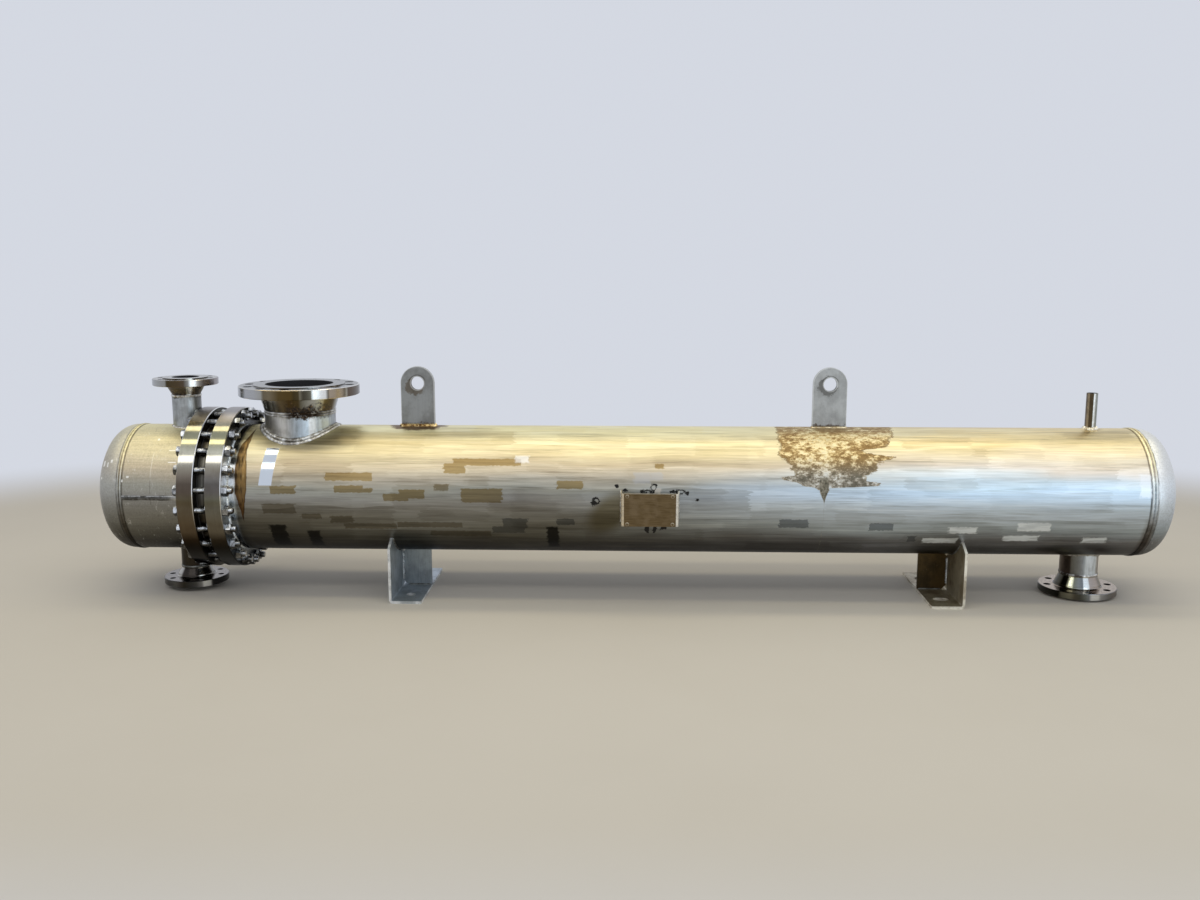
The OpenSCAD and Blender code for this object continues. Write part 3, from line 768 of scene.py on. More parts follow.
# The body flanges: turned rims whose tones are painted light, painted shade darkening downwards with bands
# of painted reflection, the shell flange's lower rim lighter and bluer by painted reflection, painted
# highlights on the chamfers, and frosted faces with a painted highlight at mid-height and painted shade
# above and below
# the rims by height: painted shade low, bands of painted reflection higher up
rimTones = [
    (0.10, (0.030, 0.026, 0.018)), (0.196, (0.012, 0.008, 0.004)), (0.255, (0.032, 0.020, 0.010)),
    (0.311, (0.117, 0.087, 0.056)), (0.364, (0.134, 0.102, 0.066)), (0.464, (0.152, 0.129, 0.096)),
    (0.513, (0.131, 0.106, 0.062)), (0.56, (0.123, 0.094, 0.070)), (0.606, (0.128, 0.102, 0.078)),
    (0.652, (0.247, 0.207, 0.163)), (0.697, (0.373, 0.338, 0.264)), (0.741, (0.573, 0.555, 0.475)),
    (0.784, (0.74, 0.71, 0.56)), (0.827, (0.44, 0.43, 0.30)), (0.869, (0.37, 0.36, 0.24)),
    (0.91, (0.35, 0.345, 0.25)), (0.945, (0.50, 0.44, 0.33)), (0.967, (0.78, 0.70, 0.58)),
    (0.988, (0.42, 0.40, 0.39)),
]
# the faces by height: painted shade low and high, a painted highlight in the middle
faceTones = [
    (0.05, (0.10, 0.105, 0.11)), (0.30, (0.30, 0.34, 0.38)), (0.45, (0.66, 0.72, 0.77)),
    (0.70, (0.80, 0.84, 0.86)), (0.82, (0.28, 0.29, 0.30)), (0.95, (0.07, 0.068, 0.065)),
]


def makeRimSteel():
    material = newMaterial("bodyFlangeSteel", 1.0, 0.2)
    place = vesselCoordinates()
    height = remap(place.share / (vessel["flangeRadius"] / vessel["radius"]), -1.0, 1.0, kind="LINEAR")
    tone = colourRamp(height, rimTones)
    onShell = remap(place.x, (vessel["channelFlange"][1] + vessel["shellFlange"][0]) / 2 - 1 * mm,
                    vessel["shellFlange"][0] - 1 * mm)
    # painted reflection: the shell flange's lower rim lighter and bluer
    lighter = onShell * remap(height, 0.70, 0.60)
    tone = tint(lighter, tone, tone * (1.25, 1.45, 1.7))
    wear = cloud(place.point, 22.0, detail=5.0)
    tone = darken(remap(wear, 0.45, 0.75, 0.0, 0.35), tone, (0.45, 0.40, 0.33))
    groove = cloud(place.point, 1.0, (900.0, 1.0, 1.0), detail=1.0)
    tone = darken(remap(groove, 0.3, 0.7, 0.0, 0.25), tone, (0.55, 0.53, 0.5))
    lean = abs(split(facing())[0])
    # painted highlight on the chamfers, stronger higher up
    chamfer = remap(lean, 0.4, 0.6) * remap(lean, 0.9, 0.8)
    shine = remap(height, 0.30, 0.60, 0.0, 0.95)
    tone = tint(chamfer * shine, tone, (0.92, 0.92, 0.90))
    face = remap(lean, 0.85, 0.95)
    mottle = cloud(place.point, 70.0, detail=5.0, rough=0.65)
    faceTone = darken(remap(mottle, 0.44, 0.64, 0.0, 0.6), colourRamp(height, faceTones), (0.38, 0.38, 0.39))
    faceTone = tint(remap(mottle, 0.60, 0.70, 0.0, 0.6), faceTone, (0.85, 0.88, 0.90))
    outer = larger(remap(place.x, vessel["channelFlange"][1] - 2 * mm, vessel["channelFlange"][1] - 4 * mm),
                   remap(place.x, vessel["shellFlange"][0] + 2 * mm, vessel["shellFlange"][0] + 4 * mm))
    tone = tint(face, tone, tint(outer, (0.045, 0.042, 0.034), faceTone))
    rough = blend(face, remap(height, 0.925, 0.955, 0.11, 0.34), 0.36)
    return plug(material, tone, rough, bump(groove, 0.05 * mm, 0.4))


# Tones round an upright piece: painted reflections, highlights and shade over the steel's own tints for the
# rims, hubs, lips and pipes, and the rust's strength for rustSide. Stops are degrees from the side that
# faces the nameplate, to the right positive, and the ramp closes behind
def roundTone(local, stops):
    parts = split(local)
    around = calc("ARCTAN2", parts[0], -parts[1])
    share = remap(around, -math.pi, math.pi, kind="LINEAR")
    return colourRamp(share, [(0.5 + degrees / 360, tone) for degrees, tone in stops])


def localPoint(low, high):  # the point and its distance from the piece's upright axis
    point = objectPoint()
    middle = (low + high) / 2
    local = point - (middle[0], middle[1], 0.0)
    flat = local * (1.0, 1.0, 0.0)
    radius = lengthOf(flat)
    return point, local, radius


# Paints shade into the bore: darkens everything nearer the axis than the middle of the pipe's wall
def darkenBore(radius, boreRadius, tone, rough, metal):
    bore = remap(radius, boreRadius, boreRadius - 1 * mm)
    tone = tint(bore, tone, (0.010, 0.010, 0.014))
    rough = blend(bore, rough, 0.7)
    return tone, rough, metal * remap(bore, 0.0, 1.0, 1.0, 0.1)


# A nozzle's flange: panels of painted reflection, highlight and shade round its rim and hub, turned faces,
# and a hub that rusts towards its butt weld
def makeNozzleSteel(name, node, look):
    low, high = boxOf(node)
    upwards = high[2] > vessel["axisZ"]
    faceZ, weldZ = (high[2], low[2]) if upwards else (low[2], high[2])
    rimRadius = (high[0] - low[0]) / 2
    material = newMaterial(name, 0.95, 0.24)
    point, local, radius = localPoint(low, high)
    upZ = split(local)[2]
    hub = remap(radius, rimRadius * 0.80, rimRadius * 0.72)
    upright = split(facing())[2]
    flat = remap(abs(upright), 0.8, 0.95)
    tone = tint(hub, roundTone(local, look["rim"]), roundTone(local, look["hub"]))
    grit = remap(cloud(point, 150.0, detail=6.0, rough=0.8), 0.42, 0.62, 0.0, 0.6)
    tone = tint(flat, tone, tint(grit, look["face"], (0.30, 0.27, 0.22), "MULTIPLY"))
    if "lip" in look:
        lip = remap(radius, rimRadius - 5 * mm, rimRadius - 3 * mm) * remap(upright, 0.3, 0.6)
        tone = tint(lip, tone, roundTone(local, look["lip"]))
    groove = cloud(joined(radius, upZ), 1100.0, detail=1.0)
    tone = darken(remap(groove, 0.3, 0.7, 0.0, 0.3), tone, (0.5, 0.48, 0.45))
    crust = cloud(point, 60.0, detail=8.0, rough=0.78)
    fleck = remap(crust, 0.60, 0.68) * (flat * 0.6)
    tone = tint(fleck, tone, (0.17, 0.11, 0.06))
    climb = remap(upZ, weldZ, faceZ, kind="LINEAR")
    spread = (crust - 0.5) * 1.9 + (look["rust"] - climb)
    side = roundTone(local, look["rustSide"])
    rusty = remap(spread, 0.0, 0.30) * hub * side
    rustTone = colourRamp(cloud(point, 130.0, detail=5.0, rough=0.7),
                          [(0.44, (0.010, 0.006, 0.004)), (0.56, (0.045, 0.025, 0.012)),
                           (0.66, (0.34, 0.21, 0.09))])
    tone = tint(rusty, tone, rustTone)
    rough = 0.20 + rusty * 0.35
    metal = 1.0 - rusty * 0.7
    tone, rough, metal = darkenBore(radius, look["bore"], tone, rough, metal)
    return plug(material, tone, rough, bump(groove, 0.05 * mm, 0.4), metal)


# Drawn pipe: panels of painted reflection, highlight and shade round it, with lengthwise draw marks, and
# rust that creeps from its butt weld
def makePipeSteel(name, node, look):
    low, high = boxOf(node)
    upwards = high[2] > vessel["axisZ"]
    buttZ = high[2] if upwards else low[2]
    away = -1.0 if upwards else 1.0
    material = newMaterial(name, 0.88, 0.36)
    point, local, radius = localPoint(low, high)
    upZ = split(local)[2]
    draw = cloud(point, 1.0, (140.0, 140.0, 16.0), detail=4.0, rough=0.6)
    mottle = cloud(point, 30.0, detail=5.0, rough=0.65)
    tone = roundTone(local, look["pipe"])
    tone = darken(remap(mottle, 0.42, 0.65, 0.0, 0.5), tone, (0.55, 0.54, 0.52))
    tone = darken(remap(draw, 0.40, 0.7, 0.0, 0.4), tone, (0.5, 0.48, 0.45))
    fromButt = (upZ - buttZ) * away
    crust = cloud(point, 55.0, detail=8.0, rough=0.76)
    spread = look["creep"] + (crust - 0.5) * 0.07 - fromButt
    side = roundTone(local, look["rustSide"])
    rusty = remap(spread, 0.0, 8 * mm) * side
    rustTone = colourRamp(cloud(point, 130.0, detail=5.0, rough=0.7),
                          [(0.44, (0.010, 0.006, 0.004)), (0.56, (0.045, 0.025, 0.012)),
                           (0.66, (0.30, 0.20, 0.10))])
    tone = tint(rusty, tone, rustTone)
    rough = remap(mottle, 0.3, 0.7, 0.28, 0.42, "LINEAR") + rusty * 0.25
    metal = 0.92 - rusty * 0.6
    tone, rough, metal = darkenBore(radius, look["bore"], tone, rough, metal)
    return plug(material, tone, rough, bump(draw, 0.1 * mm, 0.4), metal)


# Plate steel of the lugs and saddles: mill finish with clouds, scratches and specks. A saddle's edges that
# face the front, and the ends of its base, carry a painted highlight. A lug has a painted highlight along
# its outline, round above its eye, a painted highlight ring at the eye, a painted shadow arc above the eye
# and a ragged smudge
lugLook = {"outline": 52.2 * mm, "eye": 22.4 * mm, "shadow": 26.5 * mm, "smudge": 30 * mm}


def dressLug(point, tone, middleX, eyeZ, smudgeAt, smudgeTone):
    local = point - (middleX, 0, eyeZ)
    parts = split(local)
    fray = (cloud(point, 62.0, detail=7.0, rough=0.78) - 0.5) * (60 * mm)
    shiftX, shiftZ = smudgeAt
    spots = ((0.0, 0.0, parts[2]), (0.0, 0.0, larger(parts[2], 0.0)), (shiftX, shiftZ, parts[2]))
    eyeAway, edgeAway, smudgeAway = (
        squareRoot((parts[0] - dx) ** 2.0 + (up - dz) ** 2.0) for dx, dz, up in spots)
    smudge = remap(smudgeAway + fray, lugLook["smudge"], lugLook["smudge"] - 3 * mm, 0.0, 0.85)
    tone = darken(smudge, tone, smudgeTone)
    foot = parts[2] - (vessel["axisZ"] + vessel["radius"] - eyeZ) + fray
    tone = tint(remap(foot, 12 * mm, 4 * mm, 0.0, 0.85), tone, (0.085, 0.055, 0.030))
    # painted shadow: a dark arc above the eye
    arch = remap(abs(eyeAway - lugLook["shadow"]), 1.8 * mm, 0.8 * mm, 0.0, 0.7)
    arch = arch * remap(parts[2], 4 * mm, 14 * mm)
    tone = darken(arch, tone, (0.25, 0.24, 0.22))
    # painted highlights along the lug's outline and round its eye
    for away, line in ((edgeAway, lugLook["outline"]), (eyeAway, lugLook["eye"])):
        bright = remap(abs(away - line), 1.6 * mm, 0.5 * mm, 0.0, 0.75)
        tone = tint(bright * 0.6, tone, (0.86, 0.87, 0.84))
    return tone


def makePlateSteel(name, light, dark, roughness=0.42, eye=None, edgeTone=None):
    material = newMaterial(name, 0.8, roughness)
    point = objectPoint()
    patch = cloud(point, 14.0, detail=6.0, rough=0.68)
    tone = tint(remap(patch, 0.38, 0.62), light, dark)
    scratch = cloud(point, 1.0, (190.0, 190.0, 24.0), detail=4.0, rough=0.65)
    tone = darken(remap(scratch, 0.4, 0.7, 0.0, 0.12 if eye else 0.35), tone, (0.45, 0.43, 0.40))
    speck = cloud(point, 130.0, detail=3.0, rough=0.7)
    tone = tint(remap(speck, 0.64, 0.74, 0.0, 0.6), tone, (0.16, 0.13, 0.09))
    if eye:
        tone = dressLug(point, tone, *eye)
    if edgeTone:
        # painted highlight on the saddle's edges that face the front and on the ends of its base
        normal = split(facing())
        upZ = split(point)[2]
        baseEnd = remap(abs(normal[0]), 0.8, 0.95) * remap(upZ, 11 * mm, 9 * mm)
        edge = larger(remap(normal[1], -0.35, -0.5), baseEnd)
        edge = edge * remap(patch, 0.62, 0.42, 0.25, 1.0)
        tone = tint(edge, tone, edgeTone)
    rough = remap(patch, 0.3, 0.7, roughness - 0.07, roughness + 0.08, "LINEAR")
    return plug(material, tone, rough, bump(scratch, 0.1 * mm, 0.4))


# Weld metal: bright ripples with tinted valleys and a few rust specks, or else taking the wall's tone with
# its painted shade and highlight, painted highlight lines along the bead that are warmer high up, and
# painted shade over its lower half
def makeWeldMetal(name, bright, tinted, rough=0.36, specks=0.0, likeWall=False, rustAt=None):
    material = newMaterial(name, 0.92, rough)
    place = vesselCoordinates()
    mottle = cloud(place.point, 60.0, detail=5.0, rough=0.65)
    tone = tint(remap(mottle, 0.38, 0.60), bright, tinted)
    if likeWall:
        tone = darken(1.0, wallTone(place, wallTones["calm"])[0], tone)
        ring = abs(place.x) - vessel["shellWeldX"]
        ring = ring / remap(place.x, -1.0, 1.0, 1.0, 1.3, "LINEAR")
        # painted highlight lines along both sides of the head weld
        line = remap(abs(abs(ring) - 4.2 * mm), 2.2 * mm, 0.7 * mm, 0.0, 0.8)
        lineTone = tint(remap(place.share, 0.30, 0.60), (0.95, 0.98, 0.95), (1.0, 0.95, 0.62))
        line = line * remap(place.x, -1.0, 1.0, 0.5, 1.0)
        tone = tint(line * remap(place.share, -0.4, 0.3), tone, lineTone)
        groove = remap(abs(ring), 2.2 * mm, 0.8 * mm, 0.0, 0.6)
        tone = darken(groove, tone, (0.45, 0.40, 0.33))
        # painted shade: the head weld darker over its lower half
        tone = darken(remap(place.share, 0.1, -0.45, 0.0, 0.8), tone, (0.44, 0.37, 0.30))
    if specks:
        speck = cloud(place.point, 120.0, detail=4.0, rough=0.7)
        tone = tint(remap(speck, 0.52, 0.62, 0.0, specks), tone, (0.16, 0.075, 0.025))
    if rustAt:
        pipeX, stops = rustAt
        side = roundTone(place.point - (pipeX, 0, 0), stops)
        crust = remap(cloud(place.point, 110.0, detail=6.0, rough=0.75), 0.62, 0.52, 0.35, 1.0)
        tone = tint(crust * side, tone, (0.030, 0.018, 0.010))
    fine = cloud(place.point, 420.0, detail=2.0)
    rough = remap(fine, 0.3, 0.7, rough - 0.07, rough + 0.10, "LINEAR")
    return plug(material, tone, rough, bump(fine, 0.15 * mm, 0.6))


# The lengthwise weld on the channel: dark grey, with a thin bright line above, brighter at its right end
def makeSeamMetal():
    material = newMaterial("seamMetal", 0.92, 0.38)
    place = vesselCoordinates()
    mottle = cloud(place.point, 60.0, detail=5.0, rough=0.65)
    tone = tint(remap(mottle, 0.38, 0.60), (0.17, 0.17, 0.165), (0.08, 0.077, 0.07))
    height = place.share * vessel["radius"]
    line = remap(abs(height - 5.5 * mm), 1.6 * mm, 0.6 * mm, 0.0, 0.5)
    tone = tint(line * remap(mottle, 0.6, 0.45), tone, (0.86, 0.86, 0.82))
    end = remap(place.x, vessel["channelFlange"][0] - 55 * mm, vessel["channelFlange"][0] - 15 * mm, 0.0,
                0.65)
    tone = tint(end, tone, (0.72, 0.71, 0.66))
    return plug(material, tone)


def makeBoltSteel():
    material = newMaterial("boltSteel", 1.0, 0.24)
    point = objectPoint()
    mottle = cloud(point, 48.0, detail=4.0, rough=0.6)
    tone = colourRamp(mottle, [(0.34, (0.13, 0.13, 0.12)), (0.48, (0.48, 0.49, 0.50)),
                               (0.60, (0.92, 0.95, 0.98))])
    # painted shade: darker where the surface faces down
    up = split(facing())[2]
    tone = darken(remap(up, 0.35, -0.30, 0.0, 0.92), tone, (0.10, 0.09, 0.075))
    fine = cloud(point, 500.0, detail=2.0)
    return plug(material, tone, remap(mottle, 0.3, 0.7, 0.17, 0.33, "LINEAR"), bump(fine, 0.05 * mm, 0.4))


def makeGraphite():
    material = newMaterial("gasketGraphite", 0.0, 0.8)
    point = objectPoint()
    fine = cloud(point, 300.0, detail=3.0)
    tone = colourRamp(fine, [(0.3, (0.018, 0.018, 0.018)), (0.7, (0.06, 0.058, 0.055))])
    return plug(material, tone, None, bump(fine, 0.2 * mm, 0.5))


def makeEdgeSteel():  # the tubesheet's edge: turned, its tone a painted shade between the flanges, darkest at the bottom
    material = newMaterial("tubesheetSteel", 0.95, 0.3)
    place = vesselCoordinates()
    height = remap(place.share, -1.0, 1.0, kind="LINEAR")
    tone = colourRamp(height, [(0.0, (0.02, 0.015, 0.010)), (0.35, (0.055, 0.044, 0.030)),
                               (0.55, (0.13, 0.125, 0.11)), (0.8, (0.16, 0.15, 0.12)),
                               (1.0, (0.10, 0.08, 0.055))])
    groove = cloud(place.point, 1.0, (700.0, 1.0, 1.0), detail=2.0)
    tone = darken(remap(groove, 0.4, 0.65, 0.0, 0.7), tone, (0.35, 0.33, 0.30))
    return plug(material, tone, None, bump(groove, 0.1 * mm, 0.5))


def makeTubeSteel():
    material = newMaterial("tubeSteel", 0.85, 0.38)
    point = objectPoint()
    draw = cloud(point, 1.0, (12.0, 180.0, 180.0), detail=3.0)
    tone = colourRamp(draw, [(0.3, (0.16, 0.14, 0.11)), (0.7, (0.34, 0.31, 0.27))])
    return plug(material, tone, None, bump(draw, 0.1 * mm, 0.4))


# The bare nameplate: brown tinted sheet with a faint lengthwise brush
def makeNameplateSteel(name="nameplateSteel", ring=None):
    material = newMaterial(name, 0.75, 0.34)
    point = objectPoint()
    brush = cloud(point, 1.0, (30.0, 420.0, 420.0), detail=3.0)
    blot = cloud(point, 34.0, detail=4.0)
    tone = tint(remap(brush, 0.35, 0.65), (0.120, 0.083, 0.040), (0.180, 0.130, 0.068))
    tone = tint(remap(blot, 0.42, 0.72, 0.0, 0.55), tone, (0.24, 0.18, 0.11))
    # ring: a painted highlight on the sloping edge of a rivet head
    if ring:
        leaning = dot(addNode("NewGeometry").outputs["Normal"], (0, -0.9962, -0.0872))
        tone = tint(remap(leaning, 0.985, 0.96), tone, ring)
    return plug(material, tone, remap(blot, 0.3, 0.7, 0.28, 0.42, "LINEAR"), bump(brush, 0.04 * mm, 0.4))


def makeBracketSteel():  # sheet, beige at its left bend and white at its right
    low, high = boxOf("nameplate_bracket")
    material = newMaterial("bracketSteel", 0.95, 0.28)
    point = objectPoint()
    patch = cloud(point, 1.0, (40.0, 120.0, 120.0), detail=4.0)
    warm = remap(split(point)[0], low[0], high[0], kind="LINEAR")
    bend = tint(warm, (0.74, 0.66, 0.52), (0.92, 0.93, 0.93))
    tone = tint(remap(patch, 0.4, 0.7, 0.0, 0.5), bend, (0.42, 0.38, 0.31))
    return plug(material, tone, remap(patch, 0.3, 0.7, 0.22, 0.36, "LINEAR"))


# Looks of the nozzles. Rim, hub and pipe: painted reflections, highlights and shade over the steel's own
# tints, as tones by degrees round them. Rust: how high it climbs on the hub, as a share of its height, how
# far it creeps along the pipe, and how strong it is by degrees
looks = {
    "shell_inlet": {
        "bore": 106.4 * mm,
        "face": (0.33, 0.325, 0.30),
        "rim": [(-180, grey(0.3)), (-82, grey(0.12)), (-72, (0.42, 0.43, 0.46)), (-30, (0.48, 0.48, 0.48)),
                (-21, (0.42, 0.41, 0.37)), (-18.5, (0.18, 0.145, 0.095)), (-12, (0.22, 0.175, 0.11)),
                (-3, (0.12, 0.08, 0.03)), (9, (0.11, 0.07, 0.022)), (11, (0.07, 0.05, 0.02)),
                (16.6, (0.09, 0.07, 0.035)), (17.5, (0.55, 0.50, 0.38)), (18.4, (0.075, 0.064, 0.042)),
                (27.2, (0.13, 0.118, 0.088)), (28.6, (1.0, 1.0, 0.97)), (41.2, (1.0, 1.0, 0.97)),
                (43, (0.10, 0.085, 0.06)), (45, (0.48, 0.40, 0.31)), (63, (0.44, 0.36, 0.27)),
                (65.4, (0.90, 0.85, 0.74)), (67.6, (0.16, 0.12, 0.09)), (92, (0.16, 0.14, 0.12)),
                (110, (0.35, 0.33, 0.32)), (180, grey(0.3))],
        "hub": [(-180, grey(0.2)), (-80, (0.30, 0.29, 0.27)), (-55, (0.44, 0.42, 0.38)),
                (-26, (0.40, 0.37, 0.31)), (-18, (0.18, 0.145, 0.095)), (0, (0.085, 0.056, 0.022)),
                (14, (0.09, 0.068, 0.032)), (19, (0.20, 0.20, 0.18)), (30, (0.42, 0.44, 0.45)),
                (44, (0.58, 0.61, 0.65)), (50, (0.42, 0.41, 0.40)), (55, (0.14, 0.11, 0.065)),
                (75, (0.13, 0.10, 0.06)), (84, (0.44, 0.46, 0.48)), (107, grey(0.3)), (130, grey(0.2))],
        "pipe": [(-180, grey(0.3)), (-88, (0.30, 0.30, 0.30)), (-60, (0.64, 0.62, 0.57)),
                 (-10, (0.62, 0.60, 0.55)), (2, (0.47, 0.49, 0.49)), (12, (0.52, 0.60, 0.66)),
                 (27, (0.66, 0.76, 0.84)), (31, (0.98, 1.0, 1.0)), (39, (0.96, 1.0, 1.0)),
                 (43, (0.72, 0.80, 0.84)), (64, (0.70, 0.77, 0.80)), (78, (0.44, 0.47, 0.49)),
                 (100, (0.38, 0.39, 0.40)), (180, grey(0.3))],
        "rust": 0.42, "creep": 0.016,
        "lip": [(-30, (0.62, 0.60, 0.55)), (-18, (0.80, 0.62, 0.36)), (14, (0.85, 0.68, 0.42)),
                (20, (0.95, 0.93, 0.88)), (50, (0.9, 0.88, 0.84))],
        "rustSide": [(-30, grey(0.0)), (-10, grey(0.15)), (-2, grey(0.9)), (6, grey(1.0)), (42, grey(1.0)),
                     (56, grey(0.6)), (70, grey(0.5)), (80, grey(0.0)), (180, grey(0.1))],
    },
    "channel_top": {
        "bore": 42.5 * mm,
        "face": (0.56, 0.54, 0.50),
        "rim": [(-180, grey(0.3)), (-84, (0.26, 0.27, 0.29)), (-70, (0.44, 0.46, 0.50)),
                (-40, (0.44, 0.44, 0.43)), (-16, (0.36, 0.35, 0.32)), (-12.5, (0.08, 0.06, 0.03)),
                (8, (0.10, 0.07, 0.038)), (18, (0.115, 0.082, 0.055)), (21, (0.20, 0.185, 0.16)),
                (26, (0.36, 0.35, 0.32)), (28.5, (0.95, 0.95, 0.92)), (39, (0.95, 0.95, 0.92)),
                (42, (0.52, 0.50, 0.45)), (48, (0.40, 0.36, 0.31)), (54, (0.26, 0.21, 0.16)),
                (66, (0.24, 0.19, 0.15)), (74, (0.38, 0.34, 0.33)), (112, (0.36, 0.34, 0.35)),
                (180, grey(0.3))],
        "hub": [(-180, grey(0.2)), (-70, (0.30, 0.28, 0.27)), (-50, (0.20, 0.18, 0.155)),
                (-34, (0.12, 0.10, 0.075)), (10, (0.105, 0.086, 0.062)), (20, (0.15, 0.13, 0.105)),
                (24, (0.66, 0.66, 0.58)), (38, (0.80, 0.80, 0.74)), (44, (0.12, 0.105, 0.075)),
                (90, (0.11, 0.10, 0.07)), (180, grey(0.2))],
        "pipe": [(-180, grey(0.3)), (-85, (0.14, 0.14, 0.13)), (-70, (0.28, 0.29, 0.28)),
                 (-20, (0.44, 0.46, 0.46)), (20, (0.48, 0.50, 0.50)), (46, (0.50, 0.53, 0.53)),
                 (62, (0.38, 0.39, 0.38)), (90, (0.26, 0.26, 0.25)), (180, grey(0.3))],
        "rust": 0.42, "creep": 0.010,
        "rustSide": [(-90, grey(0.1)), (-50, grey(0.4)), (-30, grey(0.9)), (18, grey(1.0)),
                     (23, grey(0.25)), (42, grey(0.3)), (50, grey(0.8)), (110, grey(0.4)), (180, grey(0.3))],
    },
    "channel_bottom": {
        "bore": 42.5 * mm,
        "face": (0.29, 0.26, 0.235),
        "rim": [(-180, grey(0.3)), (-80, grey(0.13)), (-41, grey(0.09)), (-19, (0.16, 0.16, 0.15)),
                (-10, (0.10, 0.09, 0.085)), (-2, (0.05, 0.045, 0.035)), (12, grey(0.07)), (20, grey(0.11)),
                (30, (0.34, 0.34, 0.345)), (33, (0.92, 0.94, 0.92)), (45, (0.92, 0.94, 0.92)),
                (49, grey(0.08)), (52, grey(0.04)), (85, grey(0.07)), (180, grey(0.2))],
        "hub": [(-180, grey(0.2)), (-70, (0.14, 0.12, 0.10)), (-58, (0.50, 0.48, 0.44)),
                (-38, (0.44, 0.42, 0.39)), (-29, (0.045, 0.038, 0.032)), (26, (0.05, 0.044, 0.04)),
                (31, (0.60, 0.59, 0.56)), (43, (0.60, 0.59, 0.57)), (48, (0.10, 0.09, 0.08)),
                (80, (0.26, 0.25, 0.23)), (180, grey(0.2))],
        "pipe": [(-180, grey(0.05)), (-60, (0.030, 0.024, 0.017)), (-10, (0.045, 0.036, 0.024)),
                 (30, (0.032, 0.024, 0.018)), (40, (0.06, 0.055, 0.05)), (60, (0.02, 0.018, 0.014)),
                 (180, grey(0.05))],
        "rust": -0.5, "creep": -0.05, "rustSide": [(-180, grey(0.4)), (180, grey(0.4))],
    },
    "shell_outlet": {
        "bore": 54.6 * mm,
        "face": (0.56, 0.45, 0.34),
        "rim": [(-180, grey(0.2)), (-90, (0.08, 0.078, 0.07)), (-62, (0.045, 0.043, 0.036)),
                (-48, (0.016, 0.015, 0.012)), (-43, (0.20, 0.19, 0.14)), (-30, (0.26, 0.25, 0.19)),
                (-24, (0.12, 0.11, 0.085)), (-16, (0.10, 0.10, 0.085)), (-8, (0.22, 0.24, 0.23)),
                (-3, (0.30, 0.32, 0.36)), (0.5, (0.95, 0.98, 1.0)), (11, (0.95, 0.98, 1.0)),
                (15, (0.46, 0.47, 0.50)), (30, (0.30, 0.295, 0.29)), (46, (0.26, 0.23, 0.21)),
                (60, (0.08, 0.065, 0.05)), (90, grey(0.1)), (180, grey(0.2))],
        "hub": [(-180, grey(0.2)), (-120, (0.06, 0.058, 0.045)), (-50, (0.08, 0.074, 0.055)),
                (-46, (0.90, 0.90, 0.64)), (-34, (0.90, 0.90, 0.66)), (-30, (0.20, 0.21, 0.155)),
                (-18, (0.26, 0.28, 0.28)), (-7, (0.20, 0.22, 0.23)), (-4, (0.90, 0.96, 0.97)),
                (9, (0.92, 0.98, 0.98)), (12, (0.48, 0.43, 0.39)), (36, (0.46, 0.39, 0.33)),
                (50, (0.20, 0.17, 0.13)), (180, grey(0.2))],
        "pipe": [(-180, grey(0.2)), (-90, (0.12, 0.09, 0.075)), (-47, (0.075, 0.056, 0.046)),
                 (-43, (0.16, 0.155, 0.135)), (-25, (0.20, 0.205, 0.195)), (-14, (0.27, 0.28, 0.29)),
                 (-4, (0.38, 0.41, 0.44)), (2, (0.74, 0.80, 0.86)), (14, (0.78, 0.85, 0.93)),
                 (34, (0.78, 0.86, 0.94)), (44, (0.60, 0.60, 0.60)), (52, (0.38, 0.34, 0.31)),
                 (90, (0.22, 0.18, 0.16)), (180, grey(0.2))],
        "rust": -0.5, "creep": -0.04, "rustSide": [(-180, grey(0.5)), (180, grey(0.5))],
    },
    "vent": {
        "bore": 15.3 * mm,
        "pipe": [(-180, grey(0.2)), (-90, (0.20, 0.16, 0.12)), (-71, (0.20, 0.16, 0.12)),
                 (-67, (0.36, 0.30, 0.22)), (-47, (0.36, 0.30, 0.22)), (-42, (0.13, 0.095, 0.055)),
                 (-6, (0.11, 0.080, 0.042)), (-1, (0.96, 0.96, 0.92)), (17, (0.96, 0.96, 0.92)),
                 (22, (0.42, 0.44, 0.39)), (70, (0.40, 0.42, 0.37)), (180, grey(0.2))],
        "creep": -0.05, "rustSide": [(-180, grey(0.4)), (180, grey(0.4))],
    },
}

